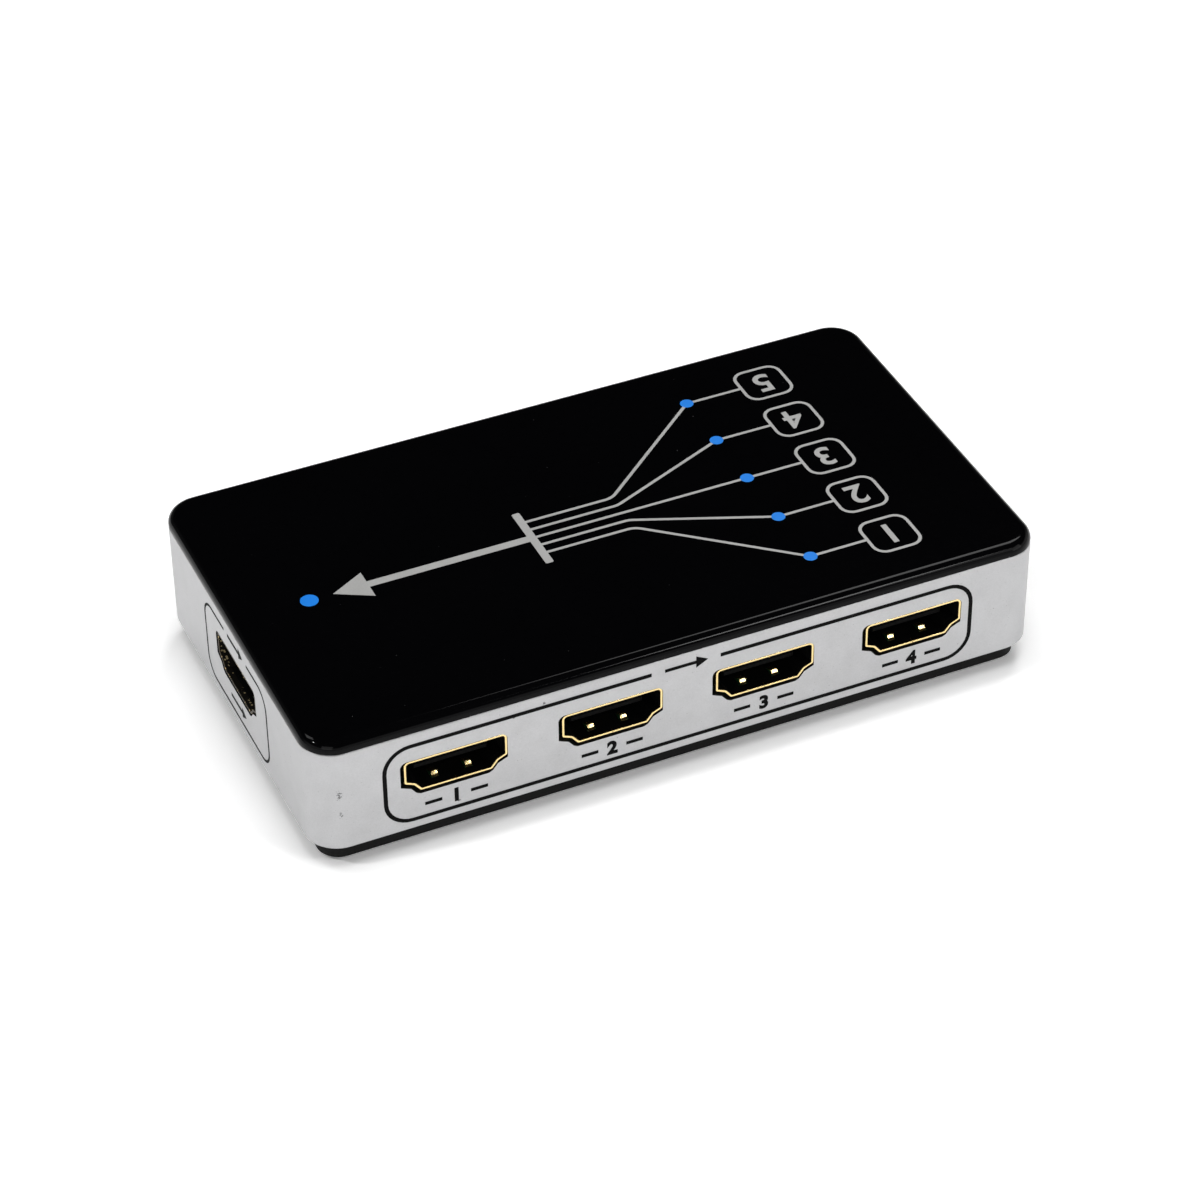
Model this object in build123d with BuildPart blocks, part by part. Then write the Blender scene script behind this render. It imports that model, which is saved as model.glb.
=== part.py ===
from build123d import *
import os

# A video switch box: five input sockets, one output socket, one select button.
# X runs along the long side, Y across, Z up. The origin is on the floor, under the
# middle of the case. The four-socket side faces -Y, the output faces -X, and the
# user's side, with the button and the lamps, faces +Y. All sizes are in millimetres.

# The case
case_length = 110.0
case_width = 60.6
corner_radius = 4.9
wall = 1.5
foot_height = 0.5
base_drop = 3.6
band_height = 16.65
cover_rise = 1.7
cover_edge_radius = 1.5
band_edge_break = 0.2
slip_gap = 0.1
cut_overrun = 1.0

# What holds the case together
skirt_depth = 2.0
skirt_wall = 1.1
cross_ribs = 3
cover_rib = 1.0
cover_rib_depth = 1.2
tray_floor = 1.6
tray_wall = 1.5
tray_insert = 3.0
tray_edge_break = 0.3
tray_rib = 1.0
tray_rib_height = 0.8
stop_rib = 0.9
stop_rib_height = 1.0
pillar_inset = 8.4
post_diameter = 6.8
boss_diameter = 5.4
screw_diameter = 2.5
screw_length = 10.0
screw_head_diameter = 4.8
screw_head_height = 1.7
screw_fit_gap = 0.02
screw_hole_gap = 0.25
cross_recess_width = 0.6
cross_recess_length = 2.6
cross_recess_depth = 0.8
foot_diameter = 9.0
foot_seat = 0.4

# The circuit board
board_thickness = 1.6
board_gap = 0.5
pin_reach = 0.8
pin_hole_gap = 0.2

# A video socket
socket_rise = 9.05
socket_recess = 0.3
mouth_gap = 0.3
opening_shift = (-0.15, -0.15)
lip_width = 15.0
lip_height = 5.5
lip_length = 0.6
lip_step = 0.1
lip_corner = 0.7
keel_corner = 0.3
cheek_height = 3.7
shelf_run = 1.35
shelf_drop = 0.6
keel_width = 10.4
sheet = 0.2
lining = 0.1
seam_gap = 0.08
shell_length = 11.4
finger_pitch = 4.9
finger_width = 0.9
finger_slit = 0.25
finger_root_depth = 6.4
bump_depth = 2.1
bump_reach = 0.75
bump_height = 0.35
leg_length = 1.2
leg_depth_shares = (0.37, 0.84)
block_depth = 8.4
block_gap = 0.02
tongue_recess = 1.6
tongue_width = 11.0
tongue_thickness = 1.0
tongue_rise = 0.1
tongue_edge_break = 0.25
upper_contacts = 10
lower_contacts = 9
contact_pitch = 1.0
contact_width = 0.3
contact_sheet = 0.15
contact_inset = 0.5
contact_gap = 0.02
tail_gap = 0.4

# Where the sockets stand, counted to the right as seen from outside
front_inputs = 4
input_from_pillar = 11.95
output_shift = 0.5
end_room_shares = (0.2, 0.43)

# The power jack
jack_width = 7.0
jack_height = 6.4
jack_length = 11.0
jack_nose_diameter = 5.8
jack_nose_gap = 0.2
jack_bore = 3.7
jack_bore_depth = 8.6
jack_pin_diameter = 1.3
jack_pin_recess = 1.0
jack_spring_width = 1.6
jack_spring_sheet = 0.3
jack_pin_tail = 0.8

# The select button, and the infrared window of the same outline
button_width = 8.0
button_height = 4.0
button_proud = 0.7
button_gap = 0.15
button_travel = 0.3
button_flange = 0.8
button_flange_reach = 0.9
button_edge_break = 0.3
flange_gap = 0.05
stem_diameter = 3.4
stem_length = 1.5
window_sink = 0.1

# The push switch behind the button
switch_width = 6.0
switch_depth = 3.4
switch_cover = 0.3
plunger_diameter = 3.0
plunger_reach = 1.5
plunger_hidden = 0.8
plunger_gap = 0.1
switch_leg_width = 0.7
switch_leg_spacing = 4.5

# The lamps and the infrared receiver
lamp_diameter = 2.9
lamp_gap = 0.1
lamp_length = 4.8
lamp_sink = 0.1
lamp_nose_slope = 0.5
lamp_pitch = 6.5
lamp_lead = 0.45
lamp_lead_pitch = 1.27
lamp_lead_run = 1.6
receiver_width = 6.0
receiver_depth = 3.4
receiver_lens_diameter = 4.0
receiver_gap = 0.6
receiver_lift = 0.1
receiver_pin_count = 3
receiver_pin_pitch = 1.8
receiver_pin = 0.5
channel_count = 5
button_from_pillar = 8.6
power_lamp_from_window = 14.0
lamps_centre_share = 0.055

# Components on the board
chip_size = 14.0
chip_height = 1.4
chip_lift = 0.1
chip_leads_per_side = 12
chip_lead_pitch = 1.0
chip_lead_width = 0.35
chip_lead_sheet = 0.15
chip_lead_reach = 0.6
chip_edge_break = 0.3
controller_length = 9.9
controller_width = 3.9
controller_leads_per_side = 8
controller_lead_pitch = 1.2
regulator_length = 6.5
regulator_width = 3.5
regulator_tab_width = 3.0
regulator_tab_sheet = 0.3
regulator_tab_reach = 1.7
regulator_leads_count = 3
regulator_lead_pitch = 2.3
crystal_length = 11.0
crystal_width = 4.6
crystal_height = 3.4
capacitor_diameter = 5.0
capacitor_height = 5.4
capacitor_base = 5.3
capacitor_base_height = 0.8
small_part_length = 1.6
small_part_width = 0.8
small_part_height = 0.5
small_parts_per_socket = 5
coil_size = 5.0
coil_height = 2.4
coil_edge_break = 1.0

# Heights and faces that follow from the sizes above
cover_under = base_drop + band_height
socket_height = base_drop + socket_rise
shell_width = lip_width - 2 * lip_step
shell_height = lip_height - 2 * lip_step
board_top = socket_height - shell_height / 2
board_under = board_top - board_thickness
tray_inside = foot_height + tray_floor
tray_top = base_drop + tray_insert
foot_top = foot_height + foot_seat
head_seat = foot_top + screw_head_height + slip_gap
inner_length = case_length - 2 * wall
inner_width = case_width - 2 * wall
inner_radius = corner_radius - wall
board_length = inner_length - 2 * board_gap
board_width = inner_width - 2 * board_gap
pillar_spacing_x = case_length - 2 * pillar_inset
pillar_spacing_y = case_width - 2 * pillar_inset
finger_places = (-finger_pitch / 2, finger_pitch / 2)
leg_spacing = shell_width - sheet
leg_depths = [share * shell_length for share in leg_depth_shares]
input_pitch = (pillar_spacing_x - 2 * input_from_pillar) / (front_inputs - 1)
end_room = pillar_spacing_y - boss_diameter - shell_width - jack_width
fifth_input_shift = end_room_shares[0] * end_room - (end_room + jack_width) / 2
between_sockets = end_room_shares[1] * end_room + (shell_width + jack_width) / 2
jack_shift = fifth_input_shift + between_sockets
window_shift = pillar_spacing_x / 2 - button_from_pillar
power_lamp_shift = window_shift - power_lamp_from_window
lamps_shift = -lamps_centre_share * case_length / 2

# The four sides, each by the direction in which it faces
FRONT, BACK, LEFT, RIGHT = (0, -1, 0), (0, 1, 0), (-1, 0, 0), (1, 0, 0)


def side_plane(outward, shift, height, recess):
    """Plane on one side of the case, its Z pointing out of the case and its Y up."""
    out = Vector(*outward)
    right = Vector(0, 0, 1).cross(out)
    reach = case_length / 2 if out.X else case_width / 2
    spot = out * (reach - recess) + right * shift + Vector(0, 0, height)
    return Plane(spot, x_dir=right, z_dir=out)


def section_plane(mouth):
    """Upright plane through a mouth: its X runs into the case, its Y is up."""
    return Plane(mouth.origin, x_dir=-mouth.z_dir, z_dir=mouth.x_dir)


def deck_plane(mouth, height):
    """Level plane under a mouth: its X runs along the side, its Y into the case."""
    spot = Vector(mouth.origin.X, mouth.origin.Y, height)
    return Plane(spot, x_dir=mouth.x_dir, z_dir=(0, 0, 1))


def spread(count, pitch):
    """Places of a row of like things, centred on zero."""
    return [(n - (count - 1) / 2) * pitch for n in range(count)]


def save(piece, name):
    piece.label = name
    export_step(piece, f"parts/{name}.step")


socket_mouths = {
    f"input_{n + 1}": side_plane(FRONT, place, socket_height, socket_recess)
    for n, place in enumerate(spread(front_inputs, input_pitch))
}
socket_mouths["input_5"] = side_plane(
    RIGHT, fifth_input_shift, socket_height, socket_recess
)
socket_mouths["output"] = side_plane(LEFT, output_shift, socket_height, socket_recess)
jack_centre = board_top + jack_height / 2
jack_mouth = side_plane(RIGHT, jack_shift, jack_centre, socket_recess)
button_face = side_plane(BACK, -window_shift, socket_height, 0)
window_face = side_plane(BACK, window_shift, socket_height, 0)
lamp_shifts = [lamps_shift + place for place in spread(channel_count, lamp_pitch)]
lamp_faces = [side_plane(BACK, s, socket_height, 0) for s in lamp_shifts]
power_lamp_face = side_plane(BACK, power_lamp_shift, socket_height, 0)
os.makedirs("parts", exist_ok=True)


def d_outline(grow):
    """Outline of a socket, wide side up, grown or shrunk all round from its lip."""
    half = [
        (lip_width / 2, lip_height / 2),
        (lip_width / 2, lip_height / 2 - cheek_height),
        (lip_width / 2 - shelf_run, lip_height / 2 - cheek_height - shelf_drop),
        (keel_width / 2, -lip_height / 2),
    ]
    with BuildSketch() as outline:
        with BuildLine():
            Polyline(*half, *[(-x, y) for x, y in reversed(half)], close=True)
        make_face()
        fillet(outline.vertices().group_by(Axis.Y)[-1], lip_corner)
        chamfer(outline.vertices().group_by(Axis.Y)[0], keel_corner)
        if grow:
            offset(amount=grow, kind=Kind.INTERSECTION)
    return outline.sketch


# Silver band: one moulded ring round all four sides, with every opening cut in it. The
# socket openings sit a little low and to the left of the sockets, as seen from outside.
# A rib inside stands on the tray's rim and stops the band from sliding down.
with BuildPart() as band:
    with BuildSketch(Plane.XY.offset(base_drop)):
        RectangleRounded(case_length, case_width, corner_radius)
        RectangleRounded(inner_length, inner_width, inner_radius, mode=Mode.SUBTRACT)
    extrude(amount=band_height)
    rims = (band.faces().sort_by(Axis.Z)[-1], band.faces().sort_by(Axis.Z)[0])
    outer_rims = [edge for rim in rims for edge in rim.outer_wire().edges()]
    chamfer(outer_rims, band_edge_break)
    with BuildSketch(Plane.XY.offset(tray_top)):
        RectangleRounded(inner_length, inner_width, inner_radius)
        RectangleRounded(
            inner_length - 2 * stop_rib,
            inner_width - 2 * stop_rib,
            inner_radius - stop_rib,
            mode=Mode.SUBTRACT,
        )
    extrude(amount=stop_rib_height)
    for mouth in socket_mouths.values():
        with BuildSketch(mouth.offset(socket_recess + cut_overrun)):
            with Locations(opening_shift):
                add(d_outline(mouth_gap))
        extrude(amount=-(wall + 2 * cut_overrun), mode=Mode.SUBTRACT)
    with BuildSketch(jack_mouth.offset(socket_recess + cut_overrun)):
        Circle(jack_nose_diameter / 2 + jack_nose_gap)
    extrude(amount=-(wall + 2 * cut_overrun), mode=Mode.SUBTRACT)
    with BuildSketch(
        button_face.offset(cut_overrun), window_face.offset(cut_overrun)
    ):
        SlotOverall(button_width + 2 * button_gap, button_height + 2 * button_gap)
    extrude(amount=-(wall + 2 * cut_overrun), mode=Mode.SUBTRACT)
    with BuildSketch(*[f.offset(cut_overrun) for f in lamp_faces + [power_lamp_face]]):
        Circle(lamp_diameter / 2 + lamp_gap)
    extrude(amount=-(wall + 2 * cut_overrun), mode=Mode.SUBTRACT)
save(band.part, "side_band")

# Top cover: gloss black plate with a rounded edge. A skirt inside the band centres it,
# ribs stiffen it, and four bosses reach down to the board for the case screws.
with BuildPart() as cover:
    with BuildSketch(Plane.XY.offset(cover_under)):
        RectangleRounded(case_length, case_width, corner_radius)
    extrude(amount=cover_rise)
    fillet(cover.faces().sort_by(Axis.Z)[-1].edges(), cover_edge_radius)
    skirt_inset = wall + slip_gap
    with BuildSketch(Plane.XY.offset(cover_under)):
        RectangleRounded(
            case_length - 2 * skirt_inset,
            case_width - 2 * skirt_inset,
            corner_radius - skirt_inset,
        )
        RectangleRounded(
            case_length - 2 * (skirt_inset + skirt_wall),
            case_width - 2 * (skirt_inset + skirt_wall),
            corner_radius - skirt_inset - skirt_wall,
            mode=Mode.SUBTRACT,
        )
    extrude(amount=-skirt_depth)
    with BuildSketch(Plane.XY.offset(cover_under)):
        with GridLocations(0, pillar_spacing_y, 1, 2):
            Rectangle(case_length - 2 * skirt_inset, cover_rib)
        with GridLocations(pillar_spacing_x / 2, 0, cross_ribs, 1):
            Rectangle(cover_rib, case_width - 2 * skirt_inset)
    extrude(amount=-cover_rib_depth)
    with BuildSketch(Plane.XY.offset(cover_under)):
        with GridLocations(pillar_spacing_x, pillar_spacing_y, 2, 2):
            Circle(boss_diameter / 2)
    extrude(amount=-(cover_under - board_top - slip_gap))
    with BuildSketch(Plane.XY.offset(board_top)):
        with GridLocations(pillar_spacing_x, pillar_spacing_y, 2, 2):
            Circle(screw_diameter / 2 + screw_fit_gap)
    extrude(amount=head_seat + screw_length + cut_overrun - board_top, mode=Mode.SUBTRACT)
save(cover.part, "top_cover")

# Base tray: matt black pan. Its rim plugs into the band, its posts carry the board,
# and under each post a screw well opens into the seat of a rubber foot.
with BuildPart() as tray:
    rim_inset = wall + slip_gap
    with BuildSketch(Plane.XY.offset(foot_height)):
        RectangleRounded(
            case_length - 2 * rim_inset,
            case_width - 2 * rim_inset,
            corner_radius - rim_inset,
        )
    extrude(amount=tray_top - foot_height)
    chamfer(tray.faces().sort_by(Axis.Z)[0].edges(), tray_edge_break)
    with BuildSketch(Plane.XY.offset(tray_inside)):
        RectangleRounded(
            case_length - 2 * (rim_inset + tray_wall),
            case_width - 2 * (rim_inset + tray_wall),
            corner_radius - rim_inset - tray_wall,
        )
    extrude(amount=tray_top - tray_inside, mode=Mode.SUBTRACT)
    with BuildSketch(Plane.XY.offset(tray_inside)):
        with GridLocations(0, pillar_spacing_y, 1, 2):
            Rectangle(case_length - 2 * rim_inset - tray_wall, tray_rib)
        with GridLocations(pillar_spacing_x / 2, 0, cross_ribs, 1):
            Rectangle(tray_rib, case_width - 2 * rim_inset - tray_wall)
    extrude(amount=tray_rib_height)
    with BuildSketch(Plane.XY.offset(tray_inside)):
        with GridLocations(pillar_spacing_x, pillar_spacing_y, 2, 2):
            Circle(post_diameter / 2)
    extrude(amount=board_under - tray_inside)
    well_radius = screw_head_diameter / 2 + slip_gap
    hole_radius = screw_diameter / 2 + screw_hole_gap
    for radius, top in (
        (foot_diameter / 2 + slip_gap, foot_top),
        (well_radius, head_seat),
        (hole_radius, board_under + cut_overrun),
    ):
        with BuildSketch(Plane.XY.offset(foot_height - cut_overrun)):
            with GridLocations(pillar_spacing_x, pillar_spacing_y, 2, 2):
                Circle(radius)
        extrude(amount=top - foot_height + cut_overrun, mode=Mode.SUBTRACT)
save(tray.part, "base_tray")

# Rubber feet: four discs pressed into the seats, which hide the case screws.
with BuildPart() as feet:
    with BuildSketch():
        with GridLocations(pillar_spacing_x, pillar_spacing_y, 2, 2):
            Circle(foot_diameter / 2)
    extrude(amount=foot_top)
save(feet.part, "rubber_feet")

# Case screws: four cheese heads with a cross recess, driven up through tray and board.
with BuildPart() as screws:
    with BuildSketch(Plane.XY.offset(head_seat - screw_head_height)):
        with GridLocations(pillar_spacing_x, pillar_spacing_y, 2, 2):
            Circle(screw_head_diameter / 2)
    extrude(amount=screw_head_height)
    with BuildSketch(Plane.XY.offset(head_seat)):
        with GridLocations(pillar_spacing_x, pillar_spacing_y, 2, 2):
            Circle(screw_diameter / 2)
    extrude(amount=screw_length)
    with BuildSketch(Plane.XY.offset(head_seat - screw_head_height)):
        with GridLocations(pillar_spacing_x, pillar_spacing_y, 2, 2):
            Rectangle(cross_recess_length, cross_recess_width)
            Rectangle(cross_recess_width, cross_recess_length)
    extrude(amount=cross_recess_depth, mode=Mode.SUBTRACT)
save(screws.part, "case_screws")


def socket_shell(mouth):
    """Stamped shell: a D tube with a turned-out lip and a seam along its bottom, four
    sprung fingers cut out of its top and bottom, each bumped inwards, and four legs that
    stand in slots in the board."""
    side = section_plane(mouth)
    with BuildPart() as shell:
        with BuildSketch(mouth):
            add(d_outline(0))
        extrude(amount=-lip_length)
        with BuildSketch(mouth):
            add(d_outline(-lip_step))
        extrude(amount=-shell_length)
        with BuildSketch(mouth):
            add(d_outline(-lip_step - sheet))
        extrude(amount=-shell_length, mode=Mode.SUBTRACT)
        strips = [side.offset(place) for place in finger_places]
        finger_tip = bump_depth - bump_reach
        slit_start = finger_tip - finger_slit
        for facing in (1, -1):
            level = facing * (shell_height - sheet) / 2
            with BuildSketch(*strips):
                with Locations(((slit_start + finger_root_depth) / 2, level)):
                    Rectangle(finger_root_depth - slit_start, 2 * sheet)
            extrude(
                amount=finger_width / 2 + finger_slit, both=True, mode=Mode.SUBTRACT
            )
            with BuildSketch(*strips):
                with BuildLine():
                    Polyline(
                        (finger_root_depth + sheet, level),
                        (bump_depth + bump_reach, level),
                        (bump_depth, level - facing * bump_height),
                        (finger_tip, level),
                    )
                trace(line_width=sheet)
            extrude(amount=finger_width / 2, both=True)
        with BuildSketch(mouth):
            with Locations((0, -lip_height / 2)):
                Rectangle(seam_gap, lip_height / 2)
        extrude(amount=-shell_length, mode=Mode.SUBTRACT)
        with BuildSketch(side.offset(-leg_spacing / 2), side.offset(leg_spacing / 2)):
            leg_foot = -shell_height / 2 - board_thickness - pin_reach
            for depth in leg_depths:
                with Locations((depth, leg_foot / 2)):
                    Rectangle(leg_length, -leg_foot)
        extrude(amount=sheet / 2, both=True)
    return shell.part


def contact_rows():
    """Height on the tongue and places across the socket of both rows of contacts."""
    for facing, count in ((1, upper_contacts), (-1, lower_contacts)):
        height = tongue_rise + facing * (tongue_thickness + contact_sheet) / 2
        yield height, spread(count, contact_pitch)


def socket_insulator(mouth):
    """Moulded insulator: a block that closes the shell's back, a thin lining of the
    shell with a window round each bump, and the tongue that carries the contacts, with
    a slot through the block for each row of them."""
    side = section_plane(mouth)
    shell_inside = -lip_step - sheet
    with BuildPart() as insulator:
        with BuildSketch(mouth.offset(-lip_length)):
            add(d_outline(shell_inside - block_gap))
        extrude(amount=-(shell_length - lip_length))
        with BuildSketch(mouth.offset(-lip_length)):
            add(d_outline(shell_inside - lining))
        extrude(amount=-(block_depth - lip_length), mode=Mode.SUBTRACT)
        with BuildSketch(*[side.offset(place) for place in finger_places]):
            with Locations((bump_depth, 0)):
                Rectangle(2 * (bump_reach + finger_slit), shell_height)
        extrude(amount=finger_width / 2 + finger_slit, both=True, mode=Mode.SUBTRACT)
        with BuildSketch(mouth.offset(-tongue_recess)):
            with Locations((0, tongue_rise)):
                Rectangle(tongue_width, tongue_thickness)
        extrude(amount=-(block_depth - tongue_recess))
        nose_middle = mouth.offset(-tongue_recess).origin
        nose = insulator.faces().sort_by_distance(nose_middle)[0]
        chamfer(nose.edges(), tongue_edge_break)
        with BuildSketch(mouth.offset(-block_depth)):
            for height, places in contact_rows():
                row_width = places[-1] - places[0] + contact_width
                with Locations((0, height)):
                    Rectangle(row_width + 2 * contact_gap, contact_sheet + 2 * contact_gap)
        extrude(amount=-(shell_length - block_depth), mode=Mode.SUBTRACT)
    return insulator.part


def socket_contacts(mouth):
    """Gold-plated strips: along the tongue, through the block, then down behind it to
    the board. The two rows interleave at half the pitch."""
    side = section_plane(mouth)
    tail = shell_length + tail_gap
    with BuildPart() as contacts:
        for height, places in contact_rows():
            with BuildSketch(*[side.offset(place) for place in places]):
                with BuildLine():
                    Polyline(
                        (tongue_recess + contact_inset, height),
                        (tail, height),
                        (tail, -shell_height / 2),
                    )
                trace(line_width=contact_sheet)
            extrude(amount=contact_width / 2, both=True)
    return contacts.part


for name, mouth in socket_mouths.items():
    save(socket_shell(mouth), f"{name}_shell")
    save(socket_insulator(mouth), f"{name}_insulator")
    save(socket_contacts(mouth), f"{name}_contacts")

# Power jack housing: a black block behind the wall with a round nose in the wall's hole
# and a blind bore, which the centre pin passes from behind.
jack_side = section_plane(jack_mouth)
jack_back = wall - socket_recess + slip_gap
with BuildPart() as jack:
    with BuildSketch(jack_mouth.offset(-jack_back)):
        Rectangle(jack_width, jack_height)
    extrude(amount=-jack_length)
    with BuildSketch(jack_mouth):
        Circle(jack_nose_diameter / 2)
    extrude(amount=-jack_back)
    with BuildSketch(jack_mouth):
        Circle(jack_bore / 2)
    extrude(amount=-jack_bore_depth, mode=Mode.SUBTRACT)
    with BuildSketch(jack_mouth):
        Circle(jack_pin_diameter / 2 + screw_fit_gap)
    extrude(amount=-(jack_back + jack_length), mode=Mode.SUBTRACT)
    spring_floor = jack_bore / 2 + jack_spring_sheet + contact_gap
    with BuildSketch(jack_side):
        with Locations(((jack_back + jack_bore_depth) / 2, -spring_floor / 2)):
            Rectangle(jack_bore_depth - jack_back, spring_floor)
    extrude(amount=jack_spring_width / 2 + contact_gap, both=True, mode=Mode.SUBTRACT)
    with BuildSketch(jack_side):
        with Locations((jack_bore_depth - jack_spring_sheet / 2, -jack_height / 2)):
            Rectangle(jack_spring_sheet + 2 * contact_gap, jack_height - jack_bore)
    extrude(amount=jack_spring_width / 2 + contact_gap, both=True, mode=Mode.SUBTRACT)
save(jack.part, "jack_housing")

# Centre pin of the jack: a turned brass pin with a round tip and a tail at the back
# that turns down through the board.
with BuildPart() as jack_pin:
    with BuildSketch(jack_mouth.offset(-jack_pin_recess)):
        Circle(jack_pin_diameter / 2)
    extrude(amount=-(jack_back + jack_length + jack_pin_tail - jack_pin_recess))
    tip = jack_pin.faces().sort_by(Axis(jack_mouth.origin, jack_mouth.z_dir))[-1]
    chamfer(tip.edges(), jack_pin_diameter / 4)
    tail_reach = jack_height / 2 + board_thickness + pin_reach
    tail_depth = jack_back + jack_length + jack_pin_tail / 2
    with BuildSketch(jack_side):
        with Locations((tail_depth, -tail_reach / 2)):
            Rectangle(jack_pin_tail, tail_reach)
    extrude(amount=jack_pin_diameter / 2, both=True)
save(jack_pin.part, "jack_centre_pin")

# Outer contact of the jack: a strip of spring brass under the bore, bowed up into it,
# with a tail through the housing's floor and the board.
with BuildPart() as jack_spring:
    strip_level = -jack_bore / 2 - jack_spring_sheet / 2
    strip_start = jack_back + contact_gap
    strip_end = jack_bore_depth - contact_gap
    with BuildSketch(jack_side):
        with BuildLine():
            ThreePointArc(
                (strip_start, strip_level),
                ((strip_start + strip_end) / 2, strip_level + jack_spring_sheet),
                (strip_end, strip_level),
            )
        trace(line_width=jack_spring_sheet)
    extrude(amount=jack_spring_width / 2, both=True)
    with BuildSketch(jack_side):
        with Locations((strip_end - jack_spring_sheet / 2, (strip_level - tail_reach) / 2)):
            Rectangle(jack_spring_sheet, tail_reach + strip_level)
    extrude(amount=jack_spring_width / 2, both=True)
save(jack_spring.part, "jack_spring_contact")

# Select button cap: an oblong key in the band's slot, held by a flange behind the wall,
# with a stem that meets the push switch. The cap and the plunger travel together.
flange_front = wall + flange_gap
flange_width = button_width + 2 * button_flange_reach
flange_height = button_height + 2 * button_flange_reach
stem_end = flange_front + button_flange + stem_length
with BuildPart() as button:
    with BuildSketch(button_face.offset(button_proud)):
        SlotOverall(button_width, button_height)
    extrude(amount=-(button_proud + flange_front))
    key = button.faces().sort_by(Axis(button_face.origin, button_face.z_dir))[-1]
    chamfer(key.edges(), button_edge_break)
    with BuildSketch(button_face.offset(-flange_front)):
        Rectangle(flange_width, flange_height)
    extrude(amount=-button_flange)
    with BuildSketch(button_face.offset(-flange_front - button_flange)):
        Circle(stem_diameter / 2)
    extrude(amount=-stem_length)
save(button.part, "select_button_cap")

# Push switch plunger: a round pin that the cap's stem presses into the switch.
with BuildPart() as plunger:
    with BuildSketch(button_face.offset(-stem_end)):
        Circle(plunger_diameter / 2)
    extrude(amount=-(plunger_reach + plunger_hidden))
save(plunger.part, "switch_plunger")

# Push switch housing: a square block on the board with the plunger's bore.
switch_front = stem_end + plunger_reach
with BuildPart() as switch:
    with BuildSketch(button_face.offset(-switch_front - switch_cover)):
        Rectangle(switch_width, shell_height)
    extrude(amount=-(switch_depth - switch_cover))
    with BuildSketch(button_face.offset(-switch_front)):
        Circle(plunger_diameter / 2 + plunger_gap)
    extrude(amount=-(plunger_hidden + 2 * button_travel), mode=Mode.SUBTRACT)
save(switch.part, "switch_housing")

# Push switch bracket: a steel face plate round the plunger with two legs in the board.
with BuildPart() as bracket:
    with BuildSketch(button_face.offset(-switch_front)):
        Rectangle(switch_width, shell_height)
        Circle(plunger_diameter / 2 + plunger_gap, mode=Mode.SUBTRACT)
        with Locations((0, -(shell_height + board_thickness + pin_reach) / 2)):
            with GridLocations(switch_leg_spacing, 0, 2, 1):
                Rectangle(switch_leg_width, board_thickness + pin_reach)
    extrude(amount=-switch_cover)
save(bracket.part, "switch_bracket")

# Infrared window: a smoked plug in the same slot shape as the button, flanged inside.
with BuildPart() as window:
    with BuildSketch(window_face.offset(-window_sink)):
        SlotOverall(button_width, button_height)
    extrude(amount=-(wall - window_sink))
    with BuildSketch(window_face.offset(-wall)):
        Rectangle(flange_width, flange_height)
    extrude(amount=-button_flange)
save(window.part, "infrared_window")

# Infrared receiver: an epoxy block with a round lens towards the window, on three pins.
receiver_front = wall + button_flange + receiver_gap + receiver_lens_diameter / 4
with BuildPart() as receiver:
    with BuildSketch(window_face.offset(-receiver_front)):
        Rectangle(receiver_width, shell_height - 2 * receiver_lift)
    extrude(amount=-receiver_depth)
    with BuildSketch(window_face.offset(-receiver_front)):
        Circle(receiver_lens_diameter / 2)
    extrude(amount=receiver_lens_diameter / 4)
save(receiver.part, "infrared_receiver")

with BuildPart() as receiver_pins:
    pin_length = receiver_lift + board_thickness + pin_reach
    pin_deck = deck_plane(window_face, board_top + receiver_lift)
    with BuildSketch(pin_deck):
        with Locations((0, receiver_front + receiver_depth / 2)):
            with GridLocations(receiver_pin_pitch, 0, receiver_pin_count, 1):
                Rectangle(receiver_pin, receiver_pin)
    extrude(amount=-pin_length)
save(receiver_pins.part, "infrared_receiver_pins")


def lamp(faces):
    """Lamps lying in the band's round holes, with the edge of each nose sloped."""
    with BuildPart() as lamps:
        with BuildSketch(*[face.offset(-lamp_sink) for face in faces]):
            Circle(lamp_diameter / 2)
        extrude(amount=lamp_sink - lamp_length)
        chamfer(lamps.edges().group_by(Axis.Y)[-1], lamp_nose_slope)
    return lamps.part


def lamp_leads(faces):
    """Two wires behind each lamp, bent down through the board."""
    bend = lamp_length + lamp_lead_run
    drop = shell_height / 2 + board_thickness + pin_reach
    with BuildPart() as leads:
        for face in faces:
            side = section_plane(face)
            with BuildSketch(
                side.offset(-lamp_lead_pitch / 2), side.offset(lamp_lead_pitch / 2)
            ):
                with BuildLine():
                    Polyline((lamp_length, 0), (bend, 0), (bend, -drop))
                trace(line_width=lamp_lead)
            extrude(amount=lamp_lead / 2, both=True)
    return leads.part


save(lamp(lamp_faces), "channel_lamps")
save(lamp([power_lamp_face]), "power_lamp")
save(lamp_leads(lamp_faces + [power_lamp_face]), "lamp_leads")

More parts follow.
